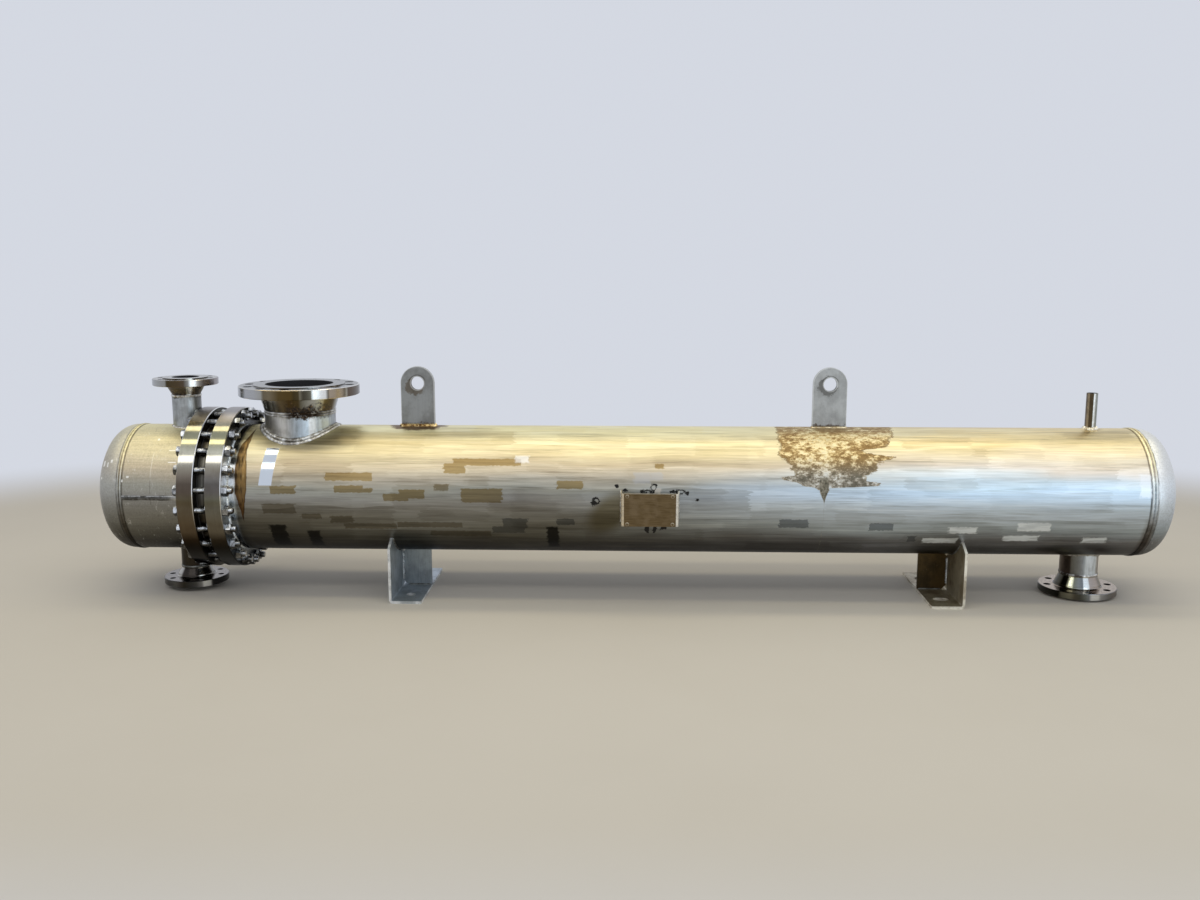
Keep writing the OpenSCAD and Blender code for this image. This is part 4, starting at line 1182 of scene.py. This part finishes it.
eyeHeight = boxOf("lug_left")[1][2] - 53 * mm
finishes = {
    "shell_barrel": makeShellSteel(),
    "channel_barrel": makeWallSteel("channelSteel", 0.42, 0.16, (0.60, 0.56, 0.49), channelNicksAndGlints),
    "channel_head": makeWallSteel("channelHeadSteel", 0.48, 0.5, (0.62, 0.62, 0.59), headGlints,
                                  palingFrom=(-0.55, 0.2), gain=0.85),
    "shell_head": makeWallSteel("shellHeadSteel", 0.46, 0.8, (0.92, 0.95, 0.97), palingFrom=(-0.45, 0.3),
                                gain=0.85),
    "channel_flange": makeRimSteel(),
    "channel_gasket": makeGraphite(),
    "tubesheet": makeEdgeSteel(),
    "tube_bundle": makeTubeSteel(),
    "nameplate": makeNameplateSteel(),
    "nameplate_bracket": makeBracketSteel(),
    "vent_pipe": makePipeSteel("ventSteel", "vent_pipe", looks["vent"]),
    "lug_left": makePlateSteel("leftLugSteel", (0.33, 0.34, 0.335), (0.24, 0.245, 0.24),
                               eye=(-0.674, eyeHeight, (-8 * mm, -11 * mm), (0.48, 0.39, 0.30))),
    "lug_right": makePlateSteel("rightLugSteel", (0.47, 0.475, 0.465), (0.35, 0.355, 0.35),
                                eye=(0.626, eyeHeight, (-9 * mm, -6 * mm), (0.42, 0.41, 0.39))),
    # The saddles are of one steel: their tones differ as painted reflection, bluish grey on the left and
    # brown on the right, and the webs are darker with painted shade, the right one most
    "saddle_left_plate": makePlateSteel("leftSaddleSteel", (0.50, 0.56, 0.61), (0.35, 0.39, 0.42),
                                        edgeTone=(0.92, 0.95, 0.98)),
    "saddle_left_web": makePlateSteel("leftWebSteel", (0.36, 0.41, 0.44), (0.26, 0.29, 0.31)),
    "saddle_right_plate": makePlateSteel("rightSaddleSteel", (0.48, 0.43, 0.31), (0.27, 0.215, 0.135),
                                         edgeTone=(0.92, 0.89, 0.80)),
    "saddle_right_web": makePlateSteel("rightWebSteel", (0.085, 0.055, 0.020), (0.045, 0.030, 0.012)),
}
for nozzle in ("shell_inlet", "channel_top", "channel_bottom", "shell_outlet"):
    start, end = nozzle.split("_")
    camelName = start + end.capitalize()
    finishes[nozzle + "_flange"] = makeNozzleSteel(camelName + "Steel", nozzle + "_flange", looks[nozzle])
    finishes[nozzle + "_pipe"] = makePipeSteel(camelName + "PipeSteel", nozzle + "_pipe", looks[nozzle])
shared = {
    "shell_flange": "channel_flange", "shell_gasket": "channel_gasket", "pass_partition": "tube_bundle",
}
for node, twin in shared.items():
    finishes[node] = finishes[twin]
for node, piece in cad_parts.items():
    for place in piece.material_slots:
        place.material = finishes[node]
print("finishes on", len(finishes), "CAD nodes")


# Small tools for meshes worked out on grids
meshing = {"mergeWithin": 0.002 * mm, "dropUnder": 0.001 * mm, "crisp": 40}


def gridFaces(rows, columns, loopRows, loopColumns):  # quads between neighbours, wrapping where closed
    row, column = np.arange(rows - (not loopRows)), np.arange(columns - (not loopColumns))
    row, column = np.meshgrid(row, column, indexing="ij")
    nextRow, nextColumn = (row + 1) % rows, (column + 1) % columns
    corners = [(row, column), (nextRow, column), (nextRow, nextColumn), (row, nextColumn)]
    return np.stack([down * columns + across for down, across in corners], -1).reshape(-1, 4)


# Joins grids of points, each (rows, columns, 3), into one closed piece that rides on the vessel: doubles at
# the poles are merged, normals turned outwards, and edges sharper than the given degrees stay crisp
def makePiece(name, grids, material, crisp=meshing["crisp"]):
    points, faces, offset = [], [], 0
    for grid, loopRows, loopColumns in grids:
        rows, columns = grid.shape[:2]
        points.append(grid.reshape(-1, 3))
        faces.append(gridFaces(rows, columns, loopRows, loopColumns) + offset)
        offset += rows * columns
    points, faces = np.concatenate(points), np.concatenate(faces)
    mesh = bpy.data.meshes.new(name)
    mesh.vertices.add(len(points))
    mesh.vertices.foreach_set("co", points.astype(np.float32).ravel())
    mesh.loops.add(faces.size)
    mesh.loops.foreach_set("vertex_index", faces.astype(np.int32).ravel())
    mesh.polygons.add(len(faces))
    mesh.polygons.foreach_set("loop_start", np.arange(0, faces.size, 4, dtype=np.int32))
    mesh.update(calc_edges=True)
    shape = bmesh.new()
    shape.from_mesh(mesh)
    bmesh.ops.remove_doubles(shape, verts=shape.verts, dist=meshing["mergeWithin"])
    bmesh.ops.dissolve_degenerate(shape, edges=shape.edges, dist=meshing["dropUnder"])
    bmesh.ops.recalc_face_normals(shape, faces=shape.faces)
    shape.to_mesh(mesh)
    shape.free()
    mesh.polygons.foreach_set("use_smooth", np.ones(len(mesh.polygons), bool))
    mesh.set_sharp_from_angle(angle=math.radians(crisp))
    mesh.materials.append(material)
    piece = bpy.data.objects.new(name, mesh)
    bpy.context.scene.collection.objects.link(piece)
    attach(piece, "root")
    print(name, "with", len(mesh.polygons), "faces")


bolting = {
    "count": 24,
    "rimToStud": 19 * mm,
    "studRadius": 10 * mm,
    "threadDepth": 1.25 * mm,
    "pitch": 2.5 * mm,
    "headHeight": 12.5 * mm,  # hexagon heads on the channel's side
    "rightEnd": 30 * mm,  # reach of the studs past the shell flange
    "tipChamfer": 2.0 * mm,
    "sides": 16,
    "stepsPerPitch": 4,
    "nutHeight": 18 * mm,
    "nutWidth": 30 * mm,  # across flats
    "nutBore": 9.2 * mm,
    "nutSides": 48,
    "nutRows": (0, 0, 0.6, 1.2, 2.2, 4.0, 9.0, 14.0, 15.8, 16.8, 17.4, 18, 18),  # millimetres up a nut
    "faceShare": 0.96,  # radius of a hexagon's round face over half its width
    "spin": 0.83,  # turn from one bolt to the next, in radians
    "nutSpin": 1.7,  # the same for the nuts, over that of the bolts
    "crisp": 25,
}
boltMetal = makeBoltSteel()
radius, axisZ = vessel["radius"], vessel["axisZ"]


def around(count):  # evenly spaced angles of a full turn
    return np.arange(count) * turn / count


# Copies of a shape drawn about the X axis, set on the stud circle: turned about X by its own spin, then
# moved to the circle's radius times the sine and cosine of its angle from the top
def aroundFlange(shape, spin):
    count, circle = bolting["count"], vessel["flangeRadius"] - bolting["rimToStud"]
    index = np.arange(count)
    angle, twist = ((index + 0.5) * turn / count)[:, None, None], (spin * index)[:, None, None]
    y, z = shape[..., 1], shape[..., 2]
    copies = np.empty((count, *shape.shape))
    copies[..., 0] = shape[..., 0]
    copies[..., 1] = y * np.cos(twist) - z * np.sin(twist) - circle * np.sin(angle)
    copies[..., 2] = y * np.sin(twist) + z * np.cos(twist) + axisZ + circle * np.cos(angle)
    return list(copies)


# A bolt's shank: the radius is the core plus the thread depth times a triangle wave of
# (x / pitch - angle / turn), plain where it is hidden, and cut back at its ends at 45 degrees
def studShape():
    left = vessel["channelFlange"][0] - bolting["headHeight"] / 2
    right = vessel["shellFlange"][1] + bolting["rightEnd"]
    step = bolting["pitch"] / bolting["stepsPerPitch"]
    spans = [
        np.arange(vessel["channelFlange"][1] - step, vessel["shellFlange"][0] + step, step),
        np.arange(vessel["shellFlange"][1] + bolting["nutHeight"] - step, right, step),
    ]
    x = np.concatenate([[left, left], *spans, [right, right]])[:, None]
    angle = around(bolting["sides"])[None, :]
    phase = (x / bolting["pitch"] - angle / turn) % 1.0
    wave = 1 - np.abs(2 * phase - 1)
    radius = bolting["studRadius"] - bolting["threadDepth"] * (1 - wave)
    toEnd = np.minimum(x - left, right - x)
    radius = np.minimum(radius, bolting["studRadius"] - bolting["tipChamfer"] + toEnd)
    radius[0] = radius[-1] = 0.0
    return np.stack([x + 0 * angle, radius * np.cos(angle), radius * np.sin(angle)], -1)


# A hexagon nut or head: the radius is half the width over the cosine of the angle folded into a sixth of a
# turn, and never more than the 30 degree chamfer cone of the nearer end; a nut's bore closes its loop, and a
# head has poles at both ends
def hexagonShape(start, height, bore):
    half = bolting["nutWidth"] / 2
    angle = around(bolting["nutSides"])[None, :]
    hexagon = half / np.cos((angle + turn / 12) % (turn / 6) - turn / 12)
    along = np.array(bolting["nutRows"])[:, None] * mm * height / bolting["nutHeight"]
    toFace = np.minimum(along, height - along)
    radius = np.minimum(hexagon, half * bolting["faceShare"] + toFace * math.sqrt(3))
    radius[0] = radius[-1] = bore
    return np.stack([start + along + 0 * angle, radius * np.cos(angle), radius * np.sin(angle)], -1)


studs = aroundFlange(studShape(), bolting["spin"])
heads = hexagonShape(vessel["channelFlange"][0] - bolting["headHeight"], bolting["headHeight"], 0.0)
nuts = hexagonShape(vessel["shellFlange"][1], bolting["nutHeight"], bolting["nutBore"])
hexagons = [(grid, False, True) for grid in aroundFlange(heads, bolting["spin"])]
hexagons += [(grid, True, True) for grid in aroundFlange(nuts, bolting["spin"] * bolting["nutSpin"])]
studs = [(grid, False, True) for grid in studs]
makePiece("bodyStuds", studs, boltMetal, bolting["crisp"])
makePiece("bodyNuts", hexagons, boltMetal, bolting["crisp"])


# A weld bead carried along a path: an ellipse whose upper half stands proud by its height and whose lower
# half is sunk, its height waved by crescents that trail along the path, tapering to points at open ends
bead = {
    "sides": 12,
    "stepsPerRipple": 4,
    "sunk": 0.5,
    "trail": 0.45,  # how far a crescent's sides lag behind its middle, in ripples
    "openSways": [(0.07, 61.0, 0.0), (0.05, 143.0, 1.3)],  # of the width: share, radians per metre, start
    "closedSways": [(0.06, 17, 0.0), (0.05, 41, 1.3)],  # the same, with waves per round
}


def unit(vectors):
    return vectors / np.linalg.norm(vectors, axis=-1, keepdims=True)


def evenPath(points, outward, spacing, closed):  # the path resampled at even steps of its own length
    both = np.concatenate([points, outward], axis=1)
    if closed:
        both = np.concatenate([both, both[:1]])
    lengths = np.concatenate([[0], np.cumsum(np.linalg.norm(np.diff(both[:, :3], axis=0), axis=1))])
    along = np.linspace(0, lengths[-1], max(8, int(round(lengths[-1] / spacing))) + 1)
    along = along[:-1] if closed else along
    even = np.stack([np.interp(along, lengths, column) for column in both.T], -1)
    return along, even[:, :3], unit(even[:, 3:]), lengths[-1]


def weldBead(points, outward, width, height, ripple=4 * mm, wave=0.35, closed=True):
    along, path, proud, total = evenPath(points, outward, ripple / bead["stepsPerRipple"], closed)
    ahead = np.roll(path, -1, 0) - np.roll(path, 1, 0) if closed else np.gradient(path, axis=0)
    sideways = unit(np.cross(unit(ahead), proud))
    count = max(1, round(total / ripple)) if closed else total / ripple
    angle = around(bead["sides"])
    across, up = np.cos(angle)[None, :], np.sin(angle)[None, :]
    phase = along[:, None] / total * count - bead["trail"] * across ** 2
    crescent = 1 - wave * (0.5 + 0.5 * np.cos(turn * phase)) ** 2
    sway, at = 1, turn * along / total if closed else along
    for share, waves, start in bead["closedSways" if closed else "openSways"]:
        sway = sway + share * np.sin(at * waves + start)
    size = np.ones(len(along))
    if not closed:
        nearEnd = np.clip(np.minimum(along, total - along) / (width * 0.5), 0, 1)
        size = np.sqrt(1 - (1 - nearEnd) ** 2)
    rise = np.where(up > 0, height * up * crescent, height * bead["sunk"] * up)
    offset = across[..., None] * sideways[:, None, :] * (width / 2 * sway * size)[:, None, None]
    return path[:, None, :] + offset + (rise * size[:, None])[..., None] * proud[:, None, :]


def beads(paths, width, height, ripple=4 * mm, wave=0.35, closed=True):  # grids for makePiece
    return [(weldBead(*path, width, height, ripple, wave, closed), closed, True) for path in paths]


# An arc on the wall through y and z, in shares of the vessel's radius from its axis; outwards is the wall's
# normal, leaning along the axis by the given amount
def arcPath(x, y, z, lean=0.0):
    points = np.stack([np.full(len(y), x), radius * y, axisZ + radius * z], -1)
    return points, unit(np.stack([np.full(len(y), lean), y, z], -1))


def ringPath(x, lean=0.0):
    return arcPath(x, -np.sin(around(256)), np.cos(around(256)), lean)


# Where an upright pipe meets the vessel: x and y go round the pipe, and z is the axis plus or minus the
# square root of radius squared less y squared; outwards is the sum of the two surfaces' normals
def saddlePath(x, pipeRadius, side, count=256):
    cosine, sine = np.cos(around(count)), np.sin(around(count))
    dy = pipeRadius * sine
    dz = side * np.sqrt(radius ** 2 - dy ** 2)
    points = np.stack([x + pipeRadius * cosine, dy, axisZ + dz], -1)
    return points, unit(np.stack([cosine, sine + dy / radius, dz / radius], -1))


def levelRing(x, z, pipeRadius, count=192):  # a level circle about an upright pipe
    normal = np.stack([np.cos(around(count)), np.sin(around(count)), np.zeros(count)], -1)
    return np.array([x, 0, z]) + pipeRadius * normal, normal


def straightPath(start, end, outward, count=24):
    start, end = np.array(start), np.array(end)
    points = start + np.linspace(0, 1, count)[:, None] * (end - start)
    return points, np.tile(unit(np.array(outward, float)), (count, 1))


def middleAndHalf(node):  # of a piece, along the vessel
    low, high = boxOf(node)
    return (low[0] + high[0]) / 2, (high[0] - low[0]) / 2


inletSide = [(-12, grey(0)), (-6, grey(0.5)), (5, grey(0.6)), (14, grey(0.1)), (40, grey(0))]
outletSide = [(-50, grey(0.95)), (-45, grey(0.35)), (-34, grey(0.4)), (-29, grey(0.9)), (-8, grey(0.85)),
              (-2, grey(0)), (44, grey(0)), (58, grey(0.8))]
inletX, outletX = middleAndHalf("shell_inlet_pipe")[0], middleAndHalf("shell_outlet_pipe")[0]
weldLooks = {  # bright and tinted tone, and what differs from a plain weld
    "weldMetal": ((0.80, 0.80, 0.77), (0.42, 0.38, 0.31), {"specks": 0.35}),
    "brightWeldMetal": ((0.86, 0.91, 0.93), (0.48, 0.50, 0.51), {"rough": 0.27}),
    "rustyWeldMetal": ((0.80, 0.66, 0.38), (0.36, 0.24, 0.10), {"specks": 0.85}),
    "goldenWeldMetal": ((0.86, 0.78, 0.58), (0.42, 0.32, 0.18), {}),
    "headWeldMetal": (grey(1.0), grey(0.66), {"rough": 0.42, "likeWall": True}),
    "creamWeldMetal": ((0.98, 0.95, 0.84), (0.62, 0.56, 0.44), {"rough": 0.3}),
    "dullWeldMetal": ((0.30, 0.31, 0.30), (0.12, 0.12, 0.11), {}),
    "inletButtMetal": ((0.82, 0.82, 0.80), (0.44, 0.42, 0.38),
                       {"rustAt": (inletX, looks["shell_inlet"]["rustSide"])}),
    "inletFilletMetal": ((0.88, 0.88, 0.85), (0.40, 0.37, 0.31), {"rustAt": (inletX, inletSide)}),
    "outletButtMetal": ((0.95, 0.97, 0.98), (0.50, 0.50, 0.47), {"rustAt": (outletX, outletSide)}),
}
metals = {name: makeWeldMetal(name, bright, tinted, **more) for name,
          (bright, tinted, more) in weldLooks.items()}
seams = {
    "headWidth": 16 * mm,
    "headHeight": 2.2 * mm,
    "shellHeadWider": 1.3,
    "seamWidth": 15 * mm,
    "seamHeight": 1.6 * mm,
    "fromHeadWeld": 4 * mm,
    "shortOfFlange": 3 * mm,
    "flangeWidth": 16 * mm,
    "flangeHeight": 4 * mm,
}
headBeads = []
for x, wider in ((vessel["channelWeldX"], 1.0), (vessel["shellWeldX"], seams["shellHeadWider"])):
    headBeads += beads([ringPath(x)], seams["headWidth"] * wider, seams["headHeight"])
makePiece("headWelds", headBeads, metals["headWeldMetal"])
seamStart = (vessel["channelWeldX"] + seams["fromHeadWeld"], -radius, axisZ)
seamEnd = (vessel["channelFlange"][0] - seams["shortOfFlange"], -radius, axisZ)
seamBead = beads([straightPath(seamStart, seamEnd, (0, -1, 0))], seams["seamWidth"], seams["seamHeight"],
                 closed=False)
makePiece("channelSeamWeld", seamBead, makeSeamMetal())
flangeCorners = [ringPath(vessel["channelFlange"][0], -1.0), ringPath(vessel["shellFlange"][1], 1.0)]
flangeBeads = beads(flangeCorners, seams["flangeWidth"], seams["flangeHeight"])
makePiece("flangeWelds", flangeBeads, metals["brightWeldMetal"])

# Fillet and butt welds of the nozzles. Fillet: width, height and distance from the pipe of each bead. Butt:
# width and height of its beads. Lifts: where they run, up from the pipe's end
plainWeld = {"fillet": [(10 * mm, 3.5 * mm, 0.0)], "butt": (7 * mm, 1.6 * mm), "lifts": [0.0], "wave": 0.35,
             "filletMetal": "weldMetal"}
nozzleWelds = {
    "channel_top": {**plainWeld, "buttMetal": "weldMetal"},
    "channel_bottom": {**plainWeld, "buttMetal": "dullWeldMetal"},
    "shell_inlet": {
        "fillet": [(15 * mm, 8 * mm, 1 * mm), (14 * mm, 4 * mm, 13 * mm)],
        "butt": (7 * mm, 2.2 * mm),
        "lifts": [-4 * mm, 4 * mm],
        "wave": 0.12,
        "filletMetal": "inletFilletMetal",
        "buttMetal": "inletButtMetal",
    },
    "shell_outlet": {**plainWeld, "fillet": [(12 * mm, 4.0 * mm, 0.0)], "butt": (8 * mm, 1.8 * mm),
                     "buttMetal": "outletButtMetal"},
}
for nozzle, weld in nozzleWelds.items():
    low, high = boxOf(nozzle + "_pipe")
    x, pipeRadius = middleAndHalf(nozzle + "_pipe")
    side, buttZ = (1, high[2]) if high[2] > axisZ else (-1, low[2])
    title = nozzle.title().replace("_", "")
    fillets = []
    for width, height, out in weld["fillet"]:
        fillets += beads([saddlePath(x, pipeRadius + out, side)], width, height, 5 * mm, weld["wave"] + 0.1)
    makePiece("fillet" + title, fillets, metals[weld["filletMetal"]])
    rings = [levelRing(x, buttZ + lift, pipeRadius) for lift in weld["lifts"]]
    butts = beads(rings, *weld["butt"], wave=weld["wave"])
    makePiece("butt" + title, butts, metals[weld["buttMetal"]])
ventWeld = {"width": 17 * mm, "height": 8 * mm, "wave": 0.5}
ventPath = saddlePath(*middleAndHalf("vent_pipe"), 1, 128)
ventBead = beads([ventPath], ventWeld["width"], ventWeld["height"], wave=ventWeld["wave"])
makePiece("filletVent", ventBead, metals["creamWeldMetal"])

# The fillet round a lug's foot: the edge of a rectangle with rounded corners, lifted onto the wall
lugWelds = {
    "leftLugWeld": ("lug_left", 19 * mm, 7 * mm, "rustyWeldMetal"),
    "rightLugWeld": ("lug_right", 11 * mm, 4 * mm, "goldenWeldMetal"),
}
footCorner = 3 * mm


def lugPath(node):
    middle, half = middleAndHalf(node)
    deep = boxOf(node)[1][1]
    quarter = np.linspace(0, turn / 4, 6)
    signs = [(1, 1), (-1, 1), (-1, -1), (1, -1)]
    angles = [quarter + k * turn / 4 for k in range(4)]
    x = np.concatenate([sx * (half - footCorner) + footCorner * np.cos(a) for (sx, sy),
                        a in zip(signs, angles)])
    y = np.concatenate([sy * (deep - footCorner) + footCorner * np.sin(a) for (sx, sy),
                        a in zip(signs, angles)])
    angle = np.concatenate(angles)
    rise = np.sqrt(radius ** 2 - y ** 2)
    points = np.stack([middle + x, y, axisZ + rise], -1)
    return points, unit(np.stack([np.cos(angle), np.sin(angle) + y / radius, rise / radius], -1))


for name, (node, width, height, metal) in lugWelds.items():
    makePiece(name, beads([lugPath(node)], width, height), metals[metal])

# Saddle welds: arcs where the upright meets the shell on both of its faces, and lines along the web
saddleWeld = {
    "width": 8 * mm,
    "height": 3 * mm,
    "plate": 8 * mm,
    "cope": 17 * mm,
    "shoulder": 45 * mm,  # from the plate's side to the end of the arc
    "shortOfFoot": 3 * mm,
    "uprightWider": 1.4,
    "uprightHigher": 1.3,
}
saddlePaths, uprightPaths = [], []
for name, into in (("saddle_left", 1), ("saddle_right", -1)):
    low, high = boxOf(name + "_plate")
    webLow, webHigh = boxOf(name + "_web")
    outer, footEnd = (low[0], high[0]) if into > 0 else (high[0], low[0])
    inner = outer + into * saddleWeld["plate"]
    thick = webHigh[1]
    start, end = inner + into * saddleWeld["cope"], footEnd - into * saddleWeld["shortOfFoot"]
    halfWidth = min(high[1] - saddleWeld["shoulder"], math.sqrt(radius ** 2 - (axisZ - high[2]) ** 2))
    reach = math.asin(halfWidth / radius)
    angle = np.linspace(-reach, reach, 96)
    saddlePaths += [arcPath(x, np.sin(angle), -np.cos(angle), lean) for x,
                    lean in ((outer, -into), (inner, into))]
    under = axisZ - math.sqrt(radius ** 2 - thick ** 2)
    for side in (-1, 1):
        y = side * thick
        saddlePaths.append(straightPath((start, y, under), (end, y, under), (0, side, -1)))
        saddlePaths.append(straightPath((start, y, webLow[2]), (end, y, webLow[2]), (0, side, 1)))
        bottom, top = webLow[2] + saddleWeld["cope"], under - saddleWeld["cope"]
        uprightPaths.append(straightPath((inner, y, bottom), (inner, y, top), (into, side, 0)))
width, height = saddleWeld["width"], saddleWeld["height"]
makePiece("saddleWelds", beads(saddlePaths, width, height, closed=False), metals["dullWeldMetal"])
width, height = width * saddleWeld["uprightWider"], height * saddleWeld["uprightHigher"]
makePiece("uprightWelds", beads(uprightPaths, width, height, closed=False), metals["brightWeldMetal"])

# The nameplate's bracket: a fillet down each leg, and four round rivet heads on the plate
plateTrim = {
    "tilt": 5.0,  # degrees that the plate leans from upright
    "halfTurn": 14.8,  # degrees of the wall on each side of the plate's middle, down a leg
    "weldWidth": 6 * mm,
    "weldHeight": 2.4 * mm,
    "thick": 1.5 * mm,
    "rivetRadius": 6.0 * mm,
    "rivetHeight": 1.8 * mm,
    "rivetRim": 0.5 * mm,
    "rivetSunk": 0.3 * mm,
    "sideMargin": 10 * mm,
    "topMargin": 7.5 * mm,
}
legAngle = np.linspace(-plateTrim["tilt"] - plateTrim["halfTurn"],
                       -plateTrim["tilt"] + plateTrim["halfTurn"], 40)
legY, legZ = -np.cos(np.radians(legAngle)), np.sin(np.radians(legAngle))
bracketLow, bracketHigh = boxOf("nameplate_bracket")
legs = [arcPath(bracketLow[0], legY, legZ, -1.0), arcPath(bracketHigh[0], legY, legZ, 1.0)]
legBeads = beads(legs, plateTrim["weldWidth"], plateTrim["weldHeight"], closed=False)
makePiece("bracketWelds", legBeads, metals["weldMetal"])


# A rivet head: height times the square root of one less the squared share of its radius, over a short
# upright rim, closed by its flat back
def rivetHead(centre, out, up, across):
    share = np.array([0, 0.3, 0.55, 0.75, 0.9, 1.0, 1.0, 0.0])[:, None]
    lift = np.sqrt(1 - share ** 2) * plateTrim["rivetHeight"] + plateTrim["rivetRim"]
    lift[-2:] = -plateTrim["rivetSunk"]
    angle = around(24)[None, :]
    flat = plateTrim["rivetRadius"] * share
    return (centre + (flat * np.cos(angle))[..., None] * across + (flat * np.sin(angle))[..., None] * up
            + (lift + 0 * angle)[..., None] * out)


plateLow, plateHigh = boxOf("nameplate")
tilt = math.radians(plateTrim["tilt"])
plateOut = np.array([0, -math.cos(tilt), -math.sin(tilt)])
plateUp = np.array([0, -math.sin(tilt), math.cos(tilt)])
plateAcross = np.array([1.0, 0, 0])
plateTall = ((plateHigh[2] - plateLow[2]) - plateTrim["thick"] * math.sin(tilt)) / math.cos(tilt)
plateMiddle = (plateLow + plateHigh) / 2 + plateOut * plateTrim["thick"] / 2
sideShift = (plateHigh[0] - plateLow[0]) / 2 - plateTrim["sideMargin"]
topShift = plateTall / 2 - plateTrim["topMargin"]
rivetPlaces = [plateMiddle + sx * sideShift * plateAcross + sz * topShift * plateUp
               for sx in (-1, 1) for sz in (-1, 1)]
rivets = [(rivetHead(centre, plateOut, plateUp, plateAcross), False, True) for centre in rivetPlaces]
# the rivet heads' sloping edges carry a painted highlight ring
makePiece("plateRivets", rivets, makeNameplateSteel("rivetSteel", (0.35, 0.30, 0.22)))
